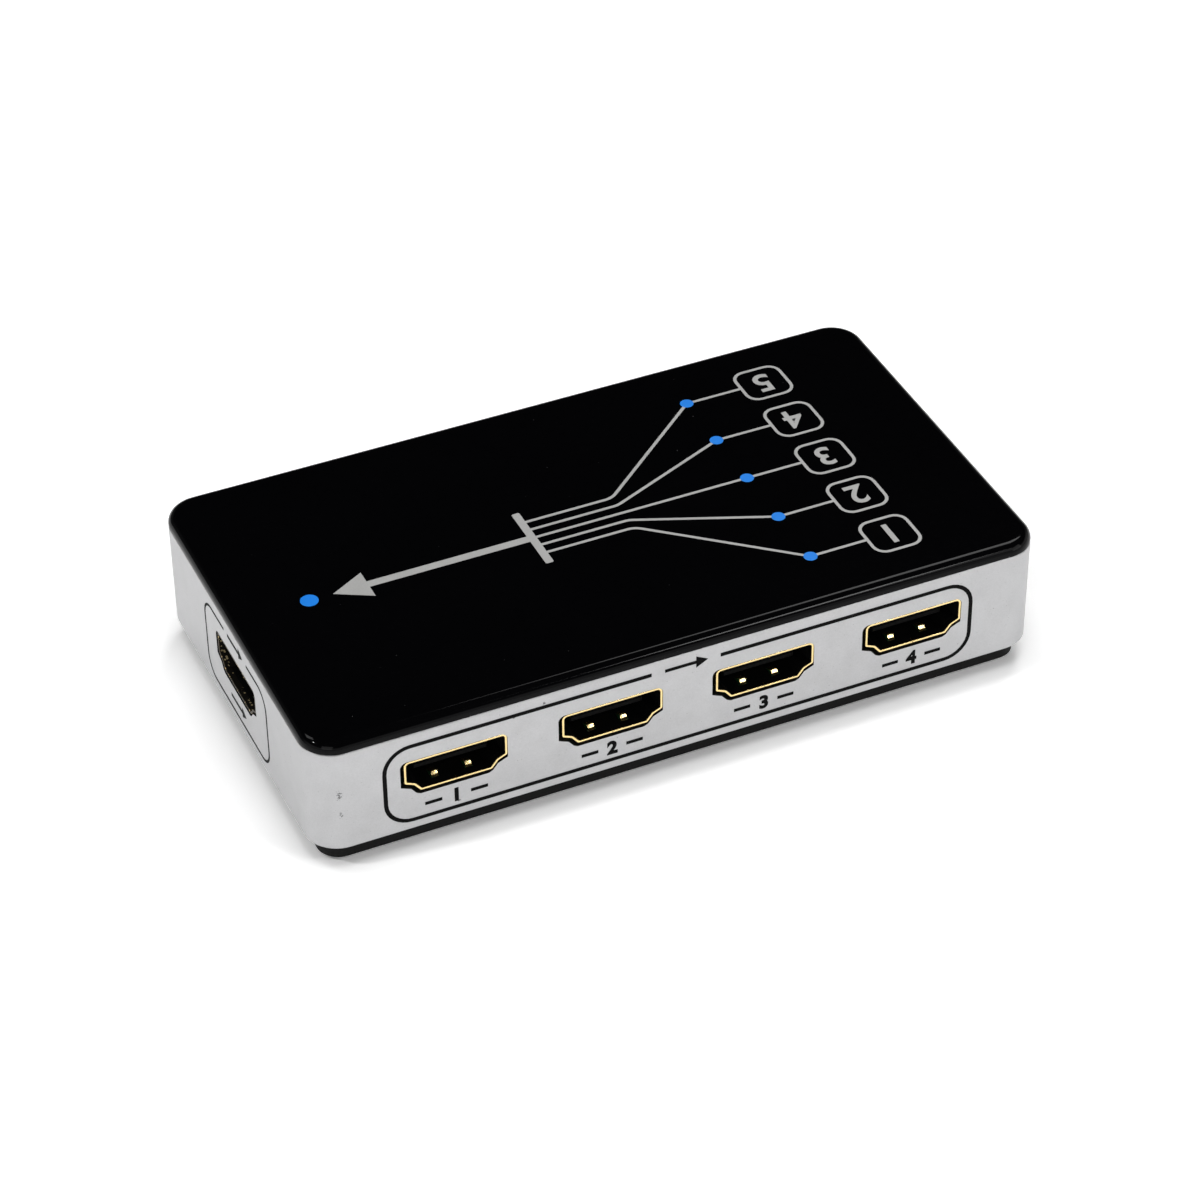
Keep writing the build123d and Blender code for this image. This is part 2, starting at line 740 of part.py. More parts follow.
# Circuit board: glass-fibre sheet on the tray's posts, with the screw holes, a slot for
# every socket leg, a hole for every pin that passes through it, and a notch in its edge
# for the flanges of the button and the window.
with BuildPart() as board:
    with BuildSketch(Plane.XY.offset(board_under)):
        RectangleRounded(board_length, board_width, inner_radius - board_gap)
        with GridLocations(pillar_spacing_x, pillar_spacing_y, 2, 2):
            Circle(screw_diameter / 2 + screw_hole_gap, mode=Mode.SUBTRACT)
    extrude(amount=board_thickness)
    with BuildSketch(*[deck_plane(m, board_under) for m in socket_mouths.values()]):
        for depth in leg_depths:
            with Locations((-leg_spacing / 2, depth), (leg_spacing / 2, depth)):
                Rectangle(sheet + 2 * pin_hole_gap, leg_length + 2 * pin_hole_gap)
    extrude(amount=board_thickness, mode=Mode.SUBTRACT)
    with BuildSketch(deck_plane(jack_mouth, board_under)):
        with Locations((0, tail_depth)):
            Rectangle(
                jack_pin_diameter + 2 * pin_hole_gap, jack_pin_tail + 2 * pin_hole_gap
            )
        with Locations((0, strip_end - jack_spring_sheet / 2)):
            Rectangle(
                jack_spring_width + 2 * pin_hole_gap,
                jack_spring_sheet + 2 * pin_hole_gap,
            )
    extrude(amount=board_thickness, mode=Mode.SUBTRACT)
    with BuildSketch(deck_plane(button_face, board_under)):
        with Locations((0, switch_front + switch_cover / 2)):
            with GridLocations(switch_leg_spacing, 0, 2, 1):
                Rectangle(
                    switch_leg_width + 2 * pin_hole_gap, switch_cover + 2 * pin_hole_gap
                )
    extrude(amount=board_thickness, mode=Mode.SUBTRACT)
    with BuildSketch(deck_plane(window_face, board_under)):
        with Locations((0, receiver_front + receiver_depth / 2)):
            with GridLocations(receiver_pin_pitch, 0, receiver_pin_count, 1):
                Rectangle(receiver_pin + 2 * pin_hole_gap, receiver_pin + 2 * pin_hole_gap)
    extrude(amount=board_thickness, mode=Mode.SUBTRACT)
    lamp_decks = [deck_plane(f, board_under) for f in lamp_faces + [power_lamp_face]]
    with BuildSketch(*lamp_decks):
        with Locations((0, lamp_length + lamp_lead_run)):
            with GridLocations(lamp_lead_pitch, 0, 2, 1):
                Rectangle(lamp_lead + 2 * pin_hole_gap, lamp_lead + 2 * pin_hole_gap)
    extrude(amount=board_thickness, mode=Mode.SUBTRACT)
    notch_depth = flange_front + button_flange + button_travel + board_gap
    with BuildSketch(*[deck_plane(f, board_under) for f in (button_face, window_face)]):
        with Locations((0, notch_depth / 2)):
            Rectangle(flange_width + 2 * board_gap, notch_depth)
    extrude(amount=board_thickness, mode=Mode.SUBTRACT)
save(board.part, "circuit_board")

# Where the components stand, as shares of half the board's length and width
switch_chip_shares = (-0.06, 0.04)
controller_shares = (0.36, 0.40)
regulator_shares = (0.60, 0.04)
crystal_shares = (-0.42, 0.42)
coil_shares = (0.42, -0.12)
capacitor_shares = ((0.58, -0.22), (0.58, 0.36), (-0.48, -0.06))


def on_board(shares):
    """Place on the board from its shares of half the length and half the width."""
    return (shares[0] * board_length / 2, shares[1] * board_width / 2)


def chip_body(place, length, width):
    """Moulded chip with a broken edge round its top, standing just off the board."""
    with BuildPart() as body:
        with BuildSketch(Plane.XY.offset(board_top + chip_lift)):
            with Locations(place):
                Rectangle(length, width)
        extrude(amount=chip_height - chip_lift)
        chamfer(body.faces().sort_by(Axis.Z)[-1].edges(), chip_edge_break)
    return body.part


def side_leads(place, half_span, places, turns):
    """Leads that leave a chip's sides level and step down to the board."""
    lead_level = chip_height / 2
    with BuildPart() as leads:
        for turn in turns:
            row = Plane(
                Vector(*place, board_top),
                x_dir=Vector(1, 0, 0).rotate(Axis.Z, turn),
                z_dir=Vector(0, -1, 0).rotate(Axis.Z, turn),
            )
            step = half_span + chip_lead_reach
            with BuildSketch(*[row.offset(p) for p in places]):
                with BuildLine():
                    Polyline(
                        (half_span, lead_level),
                        (step, lead_level),
                        (step, 0),
                    )
                trace(line_width=chip_lead_sheet)
            extrude(amount=chip_lead_width / 2, both=True)
    return leads.part


# Switch chip, its controller and the voltage regulator, each a black body with leads
chip_place = on_board(switch_chip_shares)
chip_rows = spread(chip_leads_per_side, chip_lead_pitch)
chip_turns = (0, 90, 180, 270)
save(chip_body(chip_place, chip_size, chip_size), "switch_chip")
save(side_leads(chip_place, chip_size / 2, chip_rows, chip_turns), "switch_chip_leads")

controller_place = on_board(controller_shares)
controller_rows = spread(controller_leads_per_side, controller_lead_pitch)
save(chip_body(controller_place, controller_length, controller_width), "controller_chip")
controller_leads = side_leads(
    controller_place, controller_width / 2, controller_rows, (90, 270)
)
save(controller_leads, "controller_chip_leads")

regulator_place = on_board(regulator_shares)
regulator_rows = spread(regulator_leads_count, regulator_lead_pitch)
save(chip_body(regulator_place, regulator_length, regulator_width), "regulator")
with BuildPart() as regulator_leads:
    add(side_leads(regulator_place, regulator_width / 2, regulator_rows, (270,)))
    with BuildSketch(Plane.XY.offset(board_top)):
        with Locations(regulator_place):
            with Locations((0, (regulator_width + regulator_tab_reach) / 2)):
                Rectangle(regulator_tab_width, regulator_tab_reach)
    extrude(amount=regulator_tab_sheet)
save(regulator_leads.part, "regulator_leads")

# Crystal: a drawn steel can, oblong in plan.
with BuildPart() as crystal:
    with BuildSketch(Plane.XY.offset(board_top)):
        with Locations(on_board(crystal_shares)):
            SlotOverall(crystal_length, crystal_width)
    extrude(amount=crystal_height)
save(crystal.part, "crystal")

# Smoothing capacitors: aluminium cans on square plastic bases.
capacitor_places = [on_board(shares) for shares in capacitor_shares]
with BuildPart() as capacitor_bases:
    with BuildSketch(Plane.XY.offset(board_top)):
        with Locations(*capacitor_places):
            Rectangle(capacitor_base, capacitor_base)
    extrude(amount=capacitor_base_height)
save(capacitor_bases.part, "capacitor_bases")

with BuildPart() as capacitor_cans:
    with BuildSketch(Plane.XY.offset(board_top + capacitor_base_height)):
        with Locations(*capacitor_places):
            Circle(capacitor_diameter / 2)
    extrude(amount=capacitor_height - capacitor_base_height)
save(capacitor_cans.part, "capacitor_cans")

# Power coil: a ferrite block with its corners taken off.
with BuildPart() as coil:
    with BuildSketch(Plane.XY.offset(board_top)):
        with Locations(on_board(coil_shares)):
            Rectangle(coil_size, coil_size)
    extrude(amount=coil_height)
    chamfer(coil.edges().filter_by(Axis.Z), coil_edge_break)
save(coil.part, "power_coil")

# Protection parts: a row of small ceramic blocks behind every socket.
row_depth = shell_length + tail_gap + 2 * small_part_length
row_places = spread(small_parts_per_socket, 2 * small_part_width)
with BuildPart() as small_parts:
    with BuildSketch(*[deck_plane(m, board_top) for m in socket_mouths.values()]):
        with Locations(*[(place, row_depth) for place in row_places]):
            Rectangle(small_part_width, small_part_length)
    extrude(amount=small_part_height)
save(small_parts.part, "protection_parts")
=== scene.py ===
import math

import bmesh
import bpy
import numpy as np
from mathutils import Matrix, Vector


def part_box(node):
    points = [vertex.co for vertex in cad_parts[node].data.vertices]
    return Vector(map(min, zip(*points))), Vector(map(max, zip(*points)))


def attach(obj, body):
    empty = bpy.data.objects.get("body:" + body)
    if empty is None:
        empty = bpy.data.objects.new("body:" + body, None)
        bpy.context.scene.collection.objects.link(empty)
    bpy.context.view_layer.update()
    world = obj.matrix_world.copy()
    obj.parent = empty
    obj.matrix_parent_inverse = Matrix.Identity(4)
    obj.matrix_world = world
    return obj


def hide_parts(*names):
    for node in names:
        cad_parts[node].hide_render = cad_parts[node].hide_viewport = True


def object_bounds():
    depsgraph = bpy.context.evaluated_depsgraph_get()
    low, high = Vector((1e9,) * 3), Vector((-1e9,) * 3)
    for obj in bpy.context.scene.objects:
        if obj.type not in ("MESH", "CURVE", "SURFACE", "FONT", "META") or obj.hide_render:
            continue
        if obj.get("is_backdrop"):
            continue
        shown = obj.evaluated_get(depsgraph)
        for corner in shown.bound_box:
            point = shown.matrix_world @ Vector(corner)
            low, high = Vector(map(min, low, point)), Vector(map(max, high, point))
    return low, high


# A video switch box: gloss black cover, satin silver side band with six gold-rimmed
# sockets, matt black base. Metres; +X along the long side, +Z up, the user's side at +Y.
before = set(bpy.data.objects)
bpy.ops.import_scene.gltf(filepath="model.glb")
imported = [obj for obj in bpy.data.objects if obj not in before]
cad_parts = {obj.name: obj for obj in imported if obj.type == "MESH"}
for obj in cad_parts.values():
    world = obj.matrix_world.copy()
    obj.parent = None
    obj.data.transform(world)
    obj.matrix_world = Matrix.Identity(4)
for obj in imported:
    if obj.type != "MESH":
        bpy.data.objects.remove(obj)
cad_low, cad_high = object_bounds()
scene = bpy.context.scene
scene.view_settings.view_transform = "Standard"


# Camera: a long lens that looks down on the four-socket side from beyond the near-left
# corner. The turns are in radians: heading from +Y towards +X, rise above the horizon
# (less than zero, as it looks down) and a slight lean of the picture.
eye = Vector((-0.1754, -0.3974, 0.3520))
heading, rise, lean = 0.4162, -0.6705, -0.0120
forward = Vector(
    (math.sin(heading) * math.cos(rise), math.cos(heading) * math.cos(rise), math.sin(rise))
)
level = forward.cross(Vector((0, 0, 1))).normalized()
upright = level.cross(forward)
across = math.cos(lean) * level + math.sin(lean) * upright
upward = math.cos(lean) * upright - math.sin(lean) * level
camera = bpy.data.objects.new("camera", bpy.data.cameras.new("camera"))
camera.data.sensor_width = 36.0
camera.data.lens = 115.83
turn = Matrix((across, upward, -forward)).transposed().to_4x4()
camera.matrix_world = Matrix.Translation(eye) @ turn
scene.collection.objects.link(camera)
scene.camera = camera


# Floor and studio: a plain white floor, a pale horizon, a sky that darkens above it so
# that the gloss cover mirrors black, and soft lamps on all four sides.
def wire(tree, kind, sockets={}, **settings):
    """Adds a shader node. Its settings are set, and each socket, by name or number, takes
    a value or a link."""
    made = tree.nodes.new("ShaderNode" + kind)
    for name, value in settings.items():
        setattr(made, name, value)
    for key, value in sockets.items():
        if isinstance(value, bpy.types.NodeSocket):
            tree.links.new(value, made.inputs[key])
        else:
            made.inputs[key].default_value = value
    return made


def piece(name, points, faces, crease=30.0, slots=None):
    """A mesh object from arrays of points, of face corners and, if given, of each face's
    material slot: doubled points merged, the faces turned outwards and smooth across every
    edge that folds less than the crease, in degrees, with large flat faces kept flat by
    weighing the normals by area."""
    mesh = bpy.data.meshes.new(name)
    mesh.from_pydata(np.asarray(points).tolist(), [], [list(f) for f in faces])
    if slots is not None:
        mesh.polygons.foreach_set("material_index", slots)
    same_place = 1e-7
    work = bmesh.new()
    work.from_mesh(mesh)
    bmesh.ops.remove_doubles(work, verts=work.verts, dist=same_place)
    bmesh.ops.recalc_face_normals(work, faces=work.faces)
    work.to_mesh(mesh)
    work.free()
    mesh.polygons.foreach_set("use_smooth", [True] * len(mesh.polygons))
    mesh.set_sharp_from_angle(angle=math.radians(crease))
    made = bpy.data.objects.new(name, mesh)
    scene.collection.objects.link(made)
    made.modifiers.new("even_shading", "WEIGHTED_NORMAL").keep_sharp = True
    return made


# The paper's brightness as it lights the object, and as the camera, gloss and glass see it
floor_reach, floor_lit, floor_seen = 4.0, 0.8, 1.35
corners = floor_reach * np.array([(-1, -1, 0), (1, -1, 0), (1, 1, 0), (-1, 1, 0)])
floor = piece("floor", corners, [(0, 1, 2, 3)])
floor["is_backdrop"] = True
paper = bpy.data.materials.new("floor_paper")
paper.use_nodes = True
tree = paper.node_tree
tree.nodes.clear()
rays = wire(tree, "LightPath")
mirrored = wire(
    tree, "Math", {0: rays.outputs["Is Camera Ray"], 1: rays.outputs["Is Glossy Ray"]},
    operation="MAXIMUM",
)
seen = wire(
    tree, "Math", {0: mirrored.outputs[0], 1: rays.outputs["Is Transmission Ray"]},
    operation="MAXIMUM",
)
tone = wire(
    tree, "MapRange", {"Value": seen.outputs[0], "To Min": floor_lit, "To Max": floor_seen}
)
matt = wire(tree, "BsdfDiffuse", {"Color": tone.outputs[0]})
wire(tree, "OutputMaterial", {"Surface": matt.outputs[0]})
floor.data.materials.append(paper)

# Sky brightness by the sine of the height above the horizon. Towards +Y it fades to a
# share of that, so that the cover's rounded left edge mirrors little light.
sky_steps = ((0.0, 0.9), (0.28, 0.9), (0.44, 0.01), (1.0, 0.01))
fade_start, fade_end, fade_share = 0.1, 0.50, 0.15
world = bpy.data.worlds.new("studio")
scene.world = world
world.use_nodes = True
tree = world.node_tree
tree.nodes.clear()
gaze = wire(tree, "TexCoord")
height = wire(tree, "SeparateXYZ", {0: gaze.outputs["Generated"]})
sky = wire(tree, "ValToRGB", {"Fac": height.outputs["Z"]})
ramp = sky.color_ramp
while len(ramp.elements) < len(sky_steps):
    ramp.elements.new(0.5)
for element, (place, glow) in zip(ramp.elements, sky_steps):
    element.position = place
    element.color = (glow, glow, glow, 1)
fade = wire(
    tree, "MapRange",
    {
        "Value": height.outputs["Y"], "From Min": fade_start, "From Max": fade_end,
        "To Min": 1.0, "To Max": fade_share,
    },
)
glow = wire(
    tree, "VectorMath", {0: sky.outputs["Color"], 1: fade.outputs[0]}, operation="MULTIPLY"
)
back = wire(tree, "Background", {"Color": glow.outputs[0], "Strength": 1.0})
wire(tree, "OutputWorld", {"Surface": back.outputs[0]})

# Soft boxes: name, place, size across, power in watts; each faces the object. The cover
# mirrors all but the overhead one, so that it stays black from straight above.
soft_boxes = (
    ("front_left", (-0.75, -0.95, 0.60), 0.70, 2.6),
    ("front_right", (0.85, -0.85, 0.55), 0.70, 3.0),
    ("front_edge", (0.46, -0.78, 0.88), 0.15, 1.3),
    ("left_spark", (-0.86, 0.06, 0.90), 0.06, 3.0),
    ("back_left", (-0.75, 0.75, 1.35), 0.50, 3.4),
    ("back_right", (0.75, 0.75, 1.35), 0.50, 5.0),
    ("overhead", (0.0, -0.15, 1.50), 0.80, 8.0),
)
for name, place, size, power in soft_boxes:
    lamp = bpy.data.objects.new(name, bpy.data.lights.new(name, "AREA"))
    lamp.data.size = size
    lamp.data.energy = power
    lamp.location = place
    lamp.visible_glossy = name != "overhead"
    lamp.rotation_euler = (-Vector(place)).to_track_quat("-Z", "Y").to_euler()
    scene.collection.objects.link(lamp)


# Base tray: matt black moulding with a spark-eroded texture. Its rim plugs into the band
# from below, and it carries the circuit board.
def surface_group():
    """Node group for every surface: fine noise and slow clouds, in the object's own
    coordinates, vary the colour and the roughness and give a height. Specks of another
    colour lie in a few of the cells of a cell pattern, where the distance to the cell's
    middle, roughened by noise, is less than their size."""
    group = bpy.data.node_groups.new("surface_detail", "ShaderNodeTree")
    for name, kind in (
        ("Colour", "Color"), ("Grain", "Float"), ("Tone Swing", "Float"),
        ("Rough", "Float"), ("Rough Swing", "Float"),
        ("Speck Colour", "Color"), ("Speck Cells", "Float"), ("Speck Size", "Float"),
    ):
        group.interface.new_socket(name, in_out="INPUT", socket_type="NodeSocket" + kind)
    for name, kind in (("Colour", "Color"), ("Roughness", "Float"), ("Height", "Float")):
        group.interface.new_socket(name, in_out="OUTPUT", socket_type="NodeSocket" + kind)
    given = wire(group, "TexCoord")
    asked = group.nodes.new("NodeGroupInput")
    cloud_share, speck_chance, ragged_share = 0.06, 0.12, 0.12
    slow = wire(
        group, "Math", {0: asked.outputs["Grain"], 1: cloud_share}, operation="MULTIPLY"
    )
    fine = wire(
        group, "TexNoise",
        {"Vector": given.outputs["Object"], "Scale": asked.outputs["Grain"], "Detail": 2.0},
    )
    cloud = wire(
        group, "TexNoise",
        {"Vector": given.outputs["Object"], "Scale": slow.outputs[0], "Detail": 3.0},
    )
    both = wire(
        group, "Math", {0: fine.outputs["Fac"], 1: cloud.outputs["Fac"]}, operation="ADD"
    )
    centred = wire(group, "Math", {0: both.outputs[0], 1: -1.0}, operation="ADD")
    tone = wire(
        group, "Math",
        {0: centred.outputs[0], 1: asked.outputs["Tone Swing"], 2: 1.0},
        operation="MULTIPLY_ADD",
    )
    rough = wire(
        group, "Math",
        {0: centred.outputs[0], 1: asked.outputs["Rough Swing"], 2: asked.outputs["Rough"]},
        operation="MULTIPLY_ADD",
    )
    tinted = wire(
        group, "VectorMath", {0: asked.outputs["Colour"], 1: tone.outputs[0]},
        operation="MULTIPLY",
    )
    cells = wire(
        group, "TexVoronoi",
        {"Vector": given.outputs["Object"], "Scale": asked.outputs["Speck Cells"]},
    )
    ragged = wire(
        group, "Math",
        {0: centred.outputs[0], 1: ragged_share, 2: cells.outputs["Distance"]},
        operation="MULTIPLY_ADD",
    )
    near = wire(
        group, "Math", {0: ragged.outputs[0], 1: asked.outputs["Speck Size"]},
        operation="LESS_THAN",
    )
    draw = wire(group, "SeparateXYZ", {0: cells.outputs["Color"]})
    chosen = wire(
        group, "Math", {0: draw.outputs["X"], 1: speck_chance}, operation="LESS_THAN"
    )
    speck = wire(
        group, "Math", {0: near.outputs[0], 1: chosen.outputs[0]}, operation="MULTIPLY"
    )
    # A colour mix takes its share at 0 and its two colours at 6 and 7, and gives out at 2
    marked = wire(
        group, "Mix",
        {0: speck.outputs[0], 6: tinted.outputs[0], 7: asked.outputs["Speck Colour"]},
        data_type="RGBA",
    )
    given_out = group.nodes.new("NodeGroupOutput")
    group.links.new(marked.outputs[2], given_out.inputs["Colour"])
    group.links.new(rough.outputs[0], given_out.inputs["Roughness"])
    group.links.new(fine.outputs["Fac"], given_out.inputs["Height"])
    return group


surface_detail = surface_group()


def finish(
    name, colour, rough, grain, tone_swing, rough_swing, relief, specks=None, **sockets
):
    """Material of one piece: the colour and roughness of the detail group, and a bump as
    deep as the relief, in metres. Grain is in cycles per metre. Specks are their colour,
    cells per metre and size in cells, and a size below zero leaves them out. The rest goes
    onto the shader's own sockets."""
    made = bpy.data.materials.new(name)
    made.use_nodes = True
    tree = made.node_tree
    tree.nodes.clear()
    group = tree.nodes.new("ShaderNodeGroup")
    group.node_tree = surface_detail
    speck_colour, speck_cells, speck_size = specks or (colour, 1.0, -1.0)
    for key, value in (
        ("Colour", (*colour, 1)), ("Grain", grain), ("Tone Swing", tone_swing),
        ("Rough", rough), ("Rough Swing", rough_swing),
        ("Speck Colour", (*speck_colour, 1)), ("Speck Cells", speck_cells),
        ("Speck Size", speck_size),
    ):
        group.inputs[key].default_value = value
    bump = wire(
        tree, "Bump",
        {"Height": group.outputs["Height"], "Distance": relief, "Strength": 1.0},
    )
    shader = wire(
        tree, "BsdfPrincipled",
        {
            "Base Color": group.outputs["Colour"],
            "Roughness": group.outputs["Roughness"],
            "Normal": bump.outputs["Normal"],
        },
    )
    for key, value in sockets.items():
        shader.inputs[key.replace("_", " ")].default_value = value
    wire(tree, "OutputMaterial", {"Surface": shader.outputs[0]})
    return made


def wear(material, *nodes):
    """Puts a material on every slot of some CAD nodes."""
    for node in nodes:
        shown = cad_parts[node]
        shown.data.materials.clear()
        shown.data.materials.append(material)


def smoothed(node, material, body="case"):
    """A copy of a CAD node that takes its place, shaded smooth round its round faces."""
    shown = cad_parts[node].data
    shown.calc_loop_triangles()
    points = np.empty(3 * len(shown.vertices))
    shown.vertices.foreach_get("co", points)
    faces = np.empty(3 * len(shown.loop_triangles), int)
    shown.loop_triangles.foreach_get("vertices", faces)
    made = piece(node + "_finished", points.reshape(-1, 3), faces.reshape(-1, 3).tolist())
    made.data.materials.append(material)
    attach(made, body)
    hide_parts(node)
    return made


base_matt = finish(
    "base_matt", (0.004, 0.004, 0.004), rough=0.6, grain=3000.0, tone_swing=0.3,
    rough_swing=0.2, relief=1e-5, Specular_IOR_Level=0.12,
)
smoothed("base_tray", base_matt)

# Rubber feet: four black discs moulded in soft rubber, pressed into round seats under the
# tray, where they hide the heads of the case screws.
foot_rubber = finish(
    "foot_rubber", (0.016, 0.016, 0.016), rough=0.8, grain=1800.0, tone_swing=0.3,
    rough_swing=0.15, relief=1e-5, specks=((0.12, 0.12, 0.11), 900.0, 0.16),
    Specular_IOR_Level=0.25,
)
smoothed("rubber_feet", foot_rubber)

# Circuit board: green solder mask over glass-fibre sheet, lying on the tray's posts. Its
# chips are black epoxy with tinned legs; the rest are metal cans, ferrite and ceramic.
board_mask = finish(
    "board_mask", (0.006, 0.06, 0.022), rough=0.35, grain=700.0, tone_swing=0.5,
    rough_swing=0.2, relief=6e-6, specks=((0.4, 0.36, 0.26), 420.0, 0.2), Coat_Weight=0.3,
)
wear(board_mask, "circuit_board")
chip_epoxy = finish(
    "chip_epoxy", (0.014, 0.014, 0.015), rough=0.55, grain=2600.0, tone_swing=0.3,
    rough_swing=0.2, relief=5e-6,
)
wear(chip_epoxy, "switch_chip", "controller_chip", "regulator", "capacitor_bases")
tinned = finish(
    "tinned_legs", (0.62, 0.61, 0.58), rough=0.3, grain=3000.0, tone_swing=0.15,
    rough_swing=0.2, relief=2e-6, Metallic=1.0,
)
wear(
    tinned, "switch_chip_leads", "controller_chip_leads", "regulator_leads", "lamp_leads",
    "infrared_receiver_pins",
)
drawn_can = finish(
    "drawn_can", (0.7, 0.7, 0.71), rough=0.25, grain=1500.0, tone_swing=0.1,
    rough_swing=0.15, relief=2e-6, Metallic=1.0,
)
wear(drawn_can, "crystal", "capacitor_cans")
ferrite = finish(
    "ferrite", (0.05, 0.05, 0.055), rough=0.7, grain=2000.0, tone_swing=0.4,
    rough_swing=0.2, relief=1e-5,
)
wear(ferrite, "power_coil")
ceramic = finish(
    "ceramic", (0.32, 0.22, 0.13), rough=0.5, grain=3000.0, tone_swing=0.25,
    rough_swing=0.2, relief=3e-6,
)
wear(ceramic, "protection_parts")

# Sockets: a gold-plated shell stamped from sheet, rolled outwards round its mouth and
# closed by a seam below. Four sprung fingers are cut out of it, each with a round bump
# that grips the plug. A black insulator inside carries two rows of gold contacts. The
# shell's inner faces, but for the fingers, are coloured black as painted shade for the
# dark inside of the socket.
front_inputs = (1, 2, 3, 4)
socket_sides = {f"input_{number}": (0, -1, 0) for number in front_inputs}
socket_sides.update({"input_5": (1, 0, 0), "output": (-1, 0, 0)})
# Outline: upright cheeks above, a sloping shelf under each, and a narrower keel below
lip_width, lip_height, lip_length, lip_step = 0.0150, 0.0055, 0.0006, 0.0001
cheek_height, shelf_run, shelf_drop, keel_width = 0.0037, 0.00135, 0.0006, 0.0104
turn_radii = (0.0004, 0.0004, 0.0003, 0.0008)
sheet_thickness, shell_length, seam_gap = 0.0002, 0.0114, 0.00008
bead_thickness, bead_nose, bead_square, bead_count = 0.00032, 0.0001, 0.6, 7
# The mouth stands forward of the CAD shell's, flush with the band, and a little off it
# to the right and up
mouth_forward, mouth_shift = 0.00028, (0.00012, 0.00008)
finger_place, finger_width, finger_slit = 0.00245, 0.0009, 0.00025
finger_start, finger_middle, finger_root = 0.0011, 0.0040, 0.0064
bump_depth, bump_reach, bump_height = 0.0021, 0.00074, 0.00054
bump_crown, bump_count = 0.05, 13
leg_width, leg_foot, leg_depths = 0.0012, 0.00505, (0.00422, 0.00958)
# Where the sheet starts and ends to thin behind its bead, in lengths of the lip
thin_start, thin_end = 0.5, 1.3


def rounded(corners, radii, closed=False, steps=6):
    """A path whose corners are arcs: each arc touches both sides of its corner at the
    radius over the tangent of half the inner angle, and turns evenly between them."""
    corners = np.asarray(corners, float)
    inner = corners if closed else corners[1:-1]
    before = (np.roll(corners, 1, 0) if closed else corners[:-2]) - inner
    after = (np.roll(corners, -1, 0) if closed else corners[2:]) - inner
    before /= np.linalg.norm(before, axis=1, keepdims=True)
    after /= np.linalg.norm(after, axis=1, keepdims=True)
    half = np.arccos(np.clip((before * after).sum(1), -1, 1)) / 2
    radii = np.broadcast_to(radii, half.shape)
    middle = before + after
    middle /= np.linalg.norm(middle, axis=1, keepdims=True)
    centre = inner + middle * (radii / np.sin(half))[:, None]
    first = inner + before * (radii / np.tan(half))[:, None] - centre
    last = inner + after * (radii / np.tan(half))[:, None] - centre
    sweep = (math.pi - 2 * half)[:, None]
    t = np.linspace(0, 1, steps)[None, :]
    near = (np.sin((1 - t) * sweep) / np.sin(sweep))[..., None] * first[:, None]
    far = (np.sin(t * sweep) / np.sin(sweep))[..., None] * last[:, None]
    arcs = (centre[:, None] + near + far).reshape(-1, 2)
    return arcs if closed else np.vstack([corners[:1], arcs, corners[-1:]])


def sidewards(path, closed=False):
    """For each point of a path, the direction to its right, along the mean of the steps
    before and after, drawn out so that a shift along it keeps both steps' distance."""
    ends = (
        (path[-1:], path[:1]) if closed
        else (2 * path[:1] - path[1:2], 2 * path[-1:] - path[-2:-1])
    )
    steps = np.diff(np.vstack([ends[0], path, ends[1]]), axis=0)
    steps /= np.linalg.norm(steps, axis=1, keepdims=True)
    mean = steps[:-1] + steps[1:]
    mean /= np.linalg.norm(mean, axis=1, keepdims=True)
    mitre = 1 / (mean * steps[1:]).sum(1, keepdims=True)
    return np.stack([mean[:, 1], -mean[:, 0]], -1) * mitre


def sheet_metal(outer, inner, kept):
    """Closed sheet between two skins, each a grid of points. Every kept cell is a face on
    both skins, and a wall closes the sheet along each grid edge that has a kept cell on
    one side only."""
    rows, columns = outer.shape[:2]
    index = np.arange(rows * columns).reshape(rows, columns)
    cells = np.stack([index[:-1, :-1], index[1:, :-1], index[1:, 1:], index[:-1, 1:]], -1)
    cells = cells[kept]
    ringed = np.pad(kept, 1)
    across_rows = ringed[:-1, 1:-1] != ringed[1:, 1:-1]
    across_columns = ringed[1:-1, :-1] != ringed[1:-1, 1:]
    first = np.concatenate([index[:, :-1][across_rows], index[:-1][across_columns]])
    last = np.concatenate([index[:, 1:][across_rows], index[1:][across_columns]])
    under = rows * columns
    walls = np.stack([first, last, last + under, first + under], -1)
    points = np.concatenate([outer.reshape(-1, 3), inner.reshape(-1, 3)])
    return points, np.concatenate([cells, cells[:, ::-1] + under, walls])


def slab(low, high):
    """Corners and faces of an upright block between two opposite corners."""
    pick = np.indices((2, 2, 2)).reshape(3, -1).T
    corners = np.where(pick == 0, low, high)
    faces = [
        (0, 1, 3, 2), (4, 6, 7, 5), (0, 4, 5, 1), (2, 3, 7, 6), (0, 2, 6, 4), (1, 5, 7, 3),
    ]
    return corners, np.array(faces)


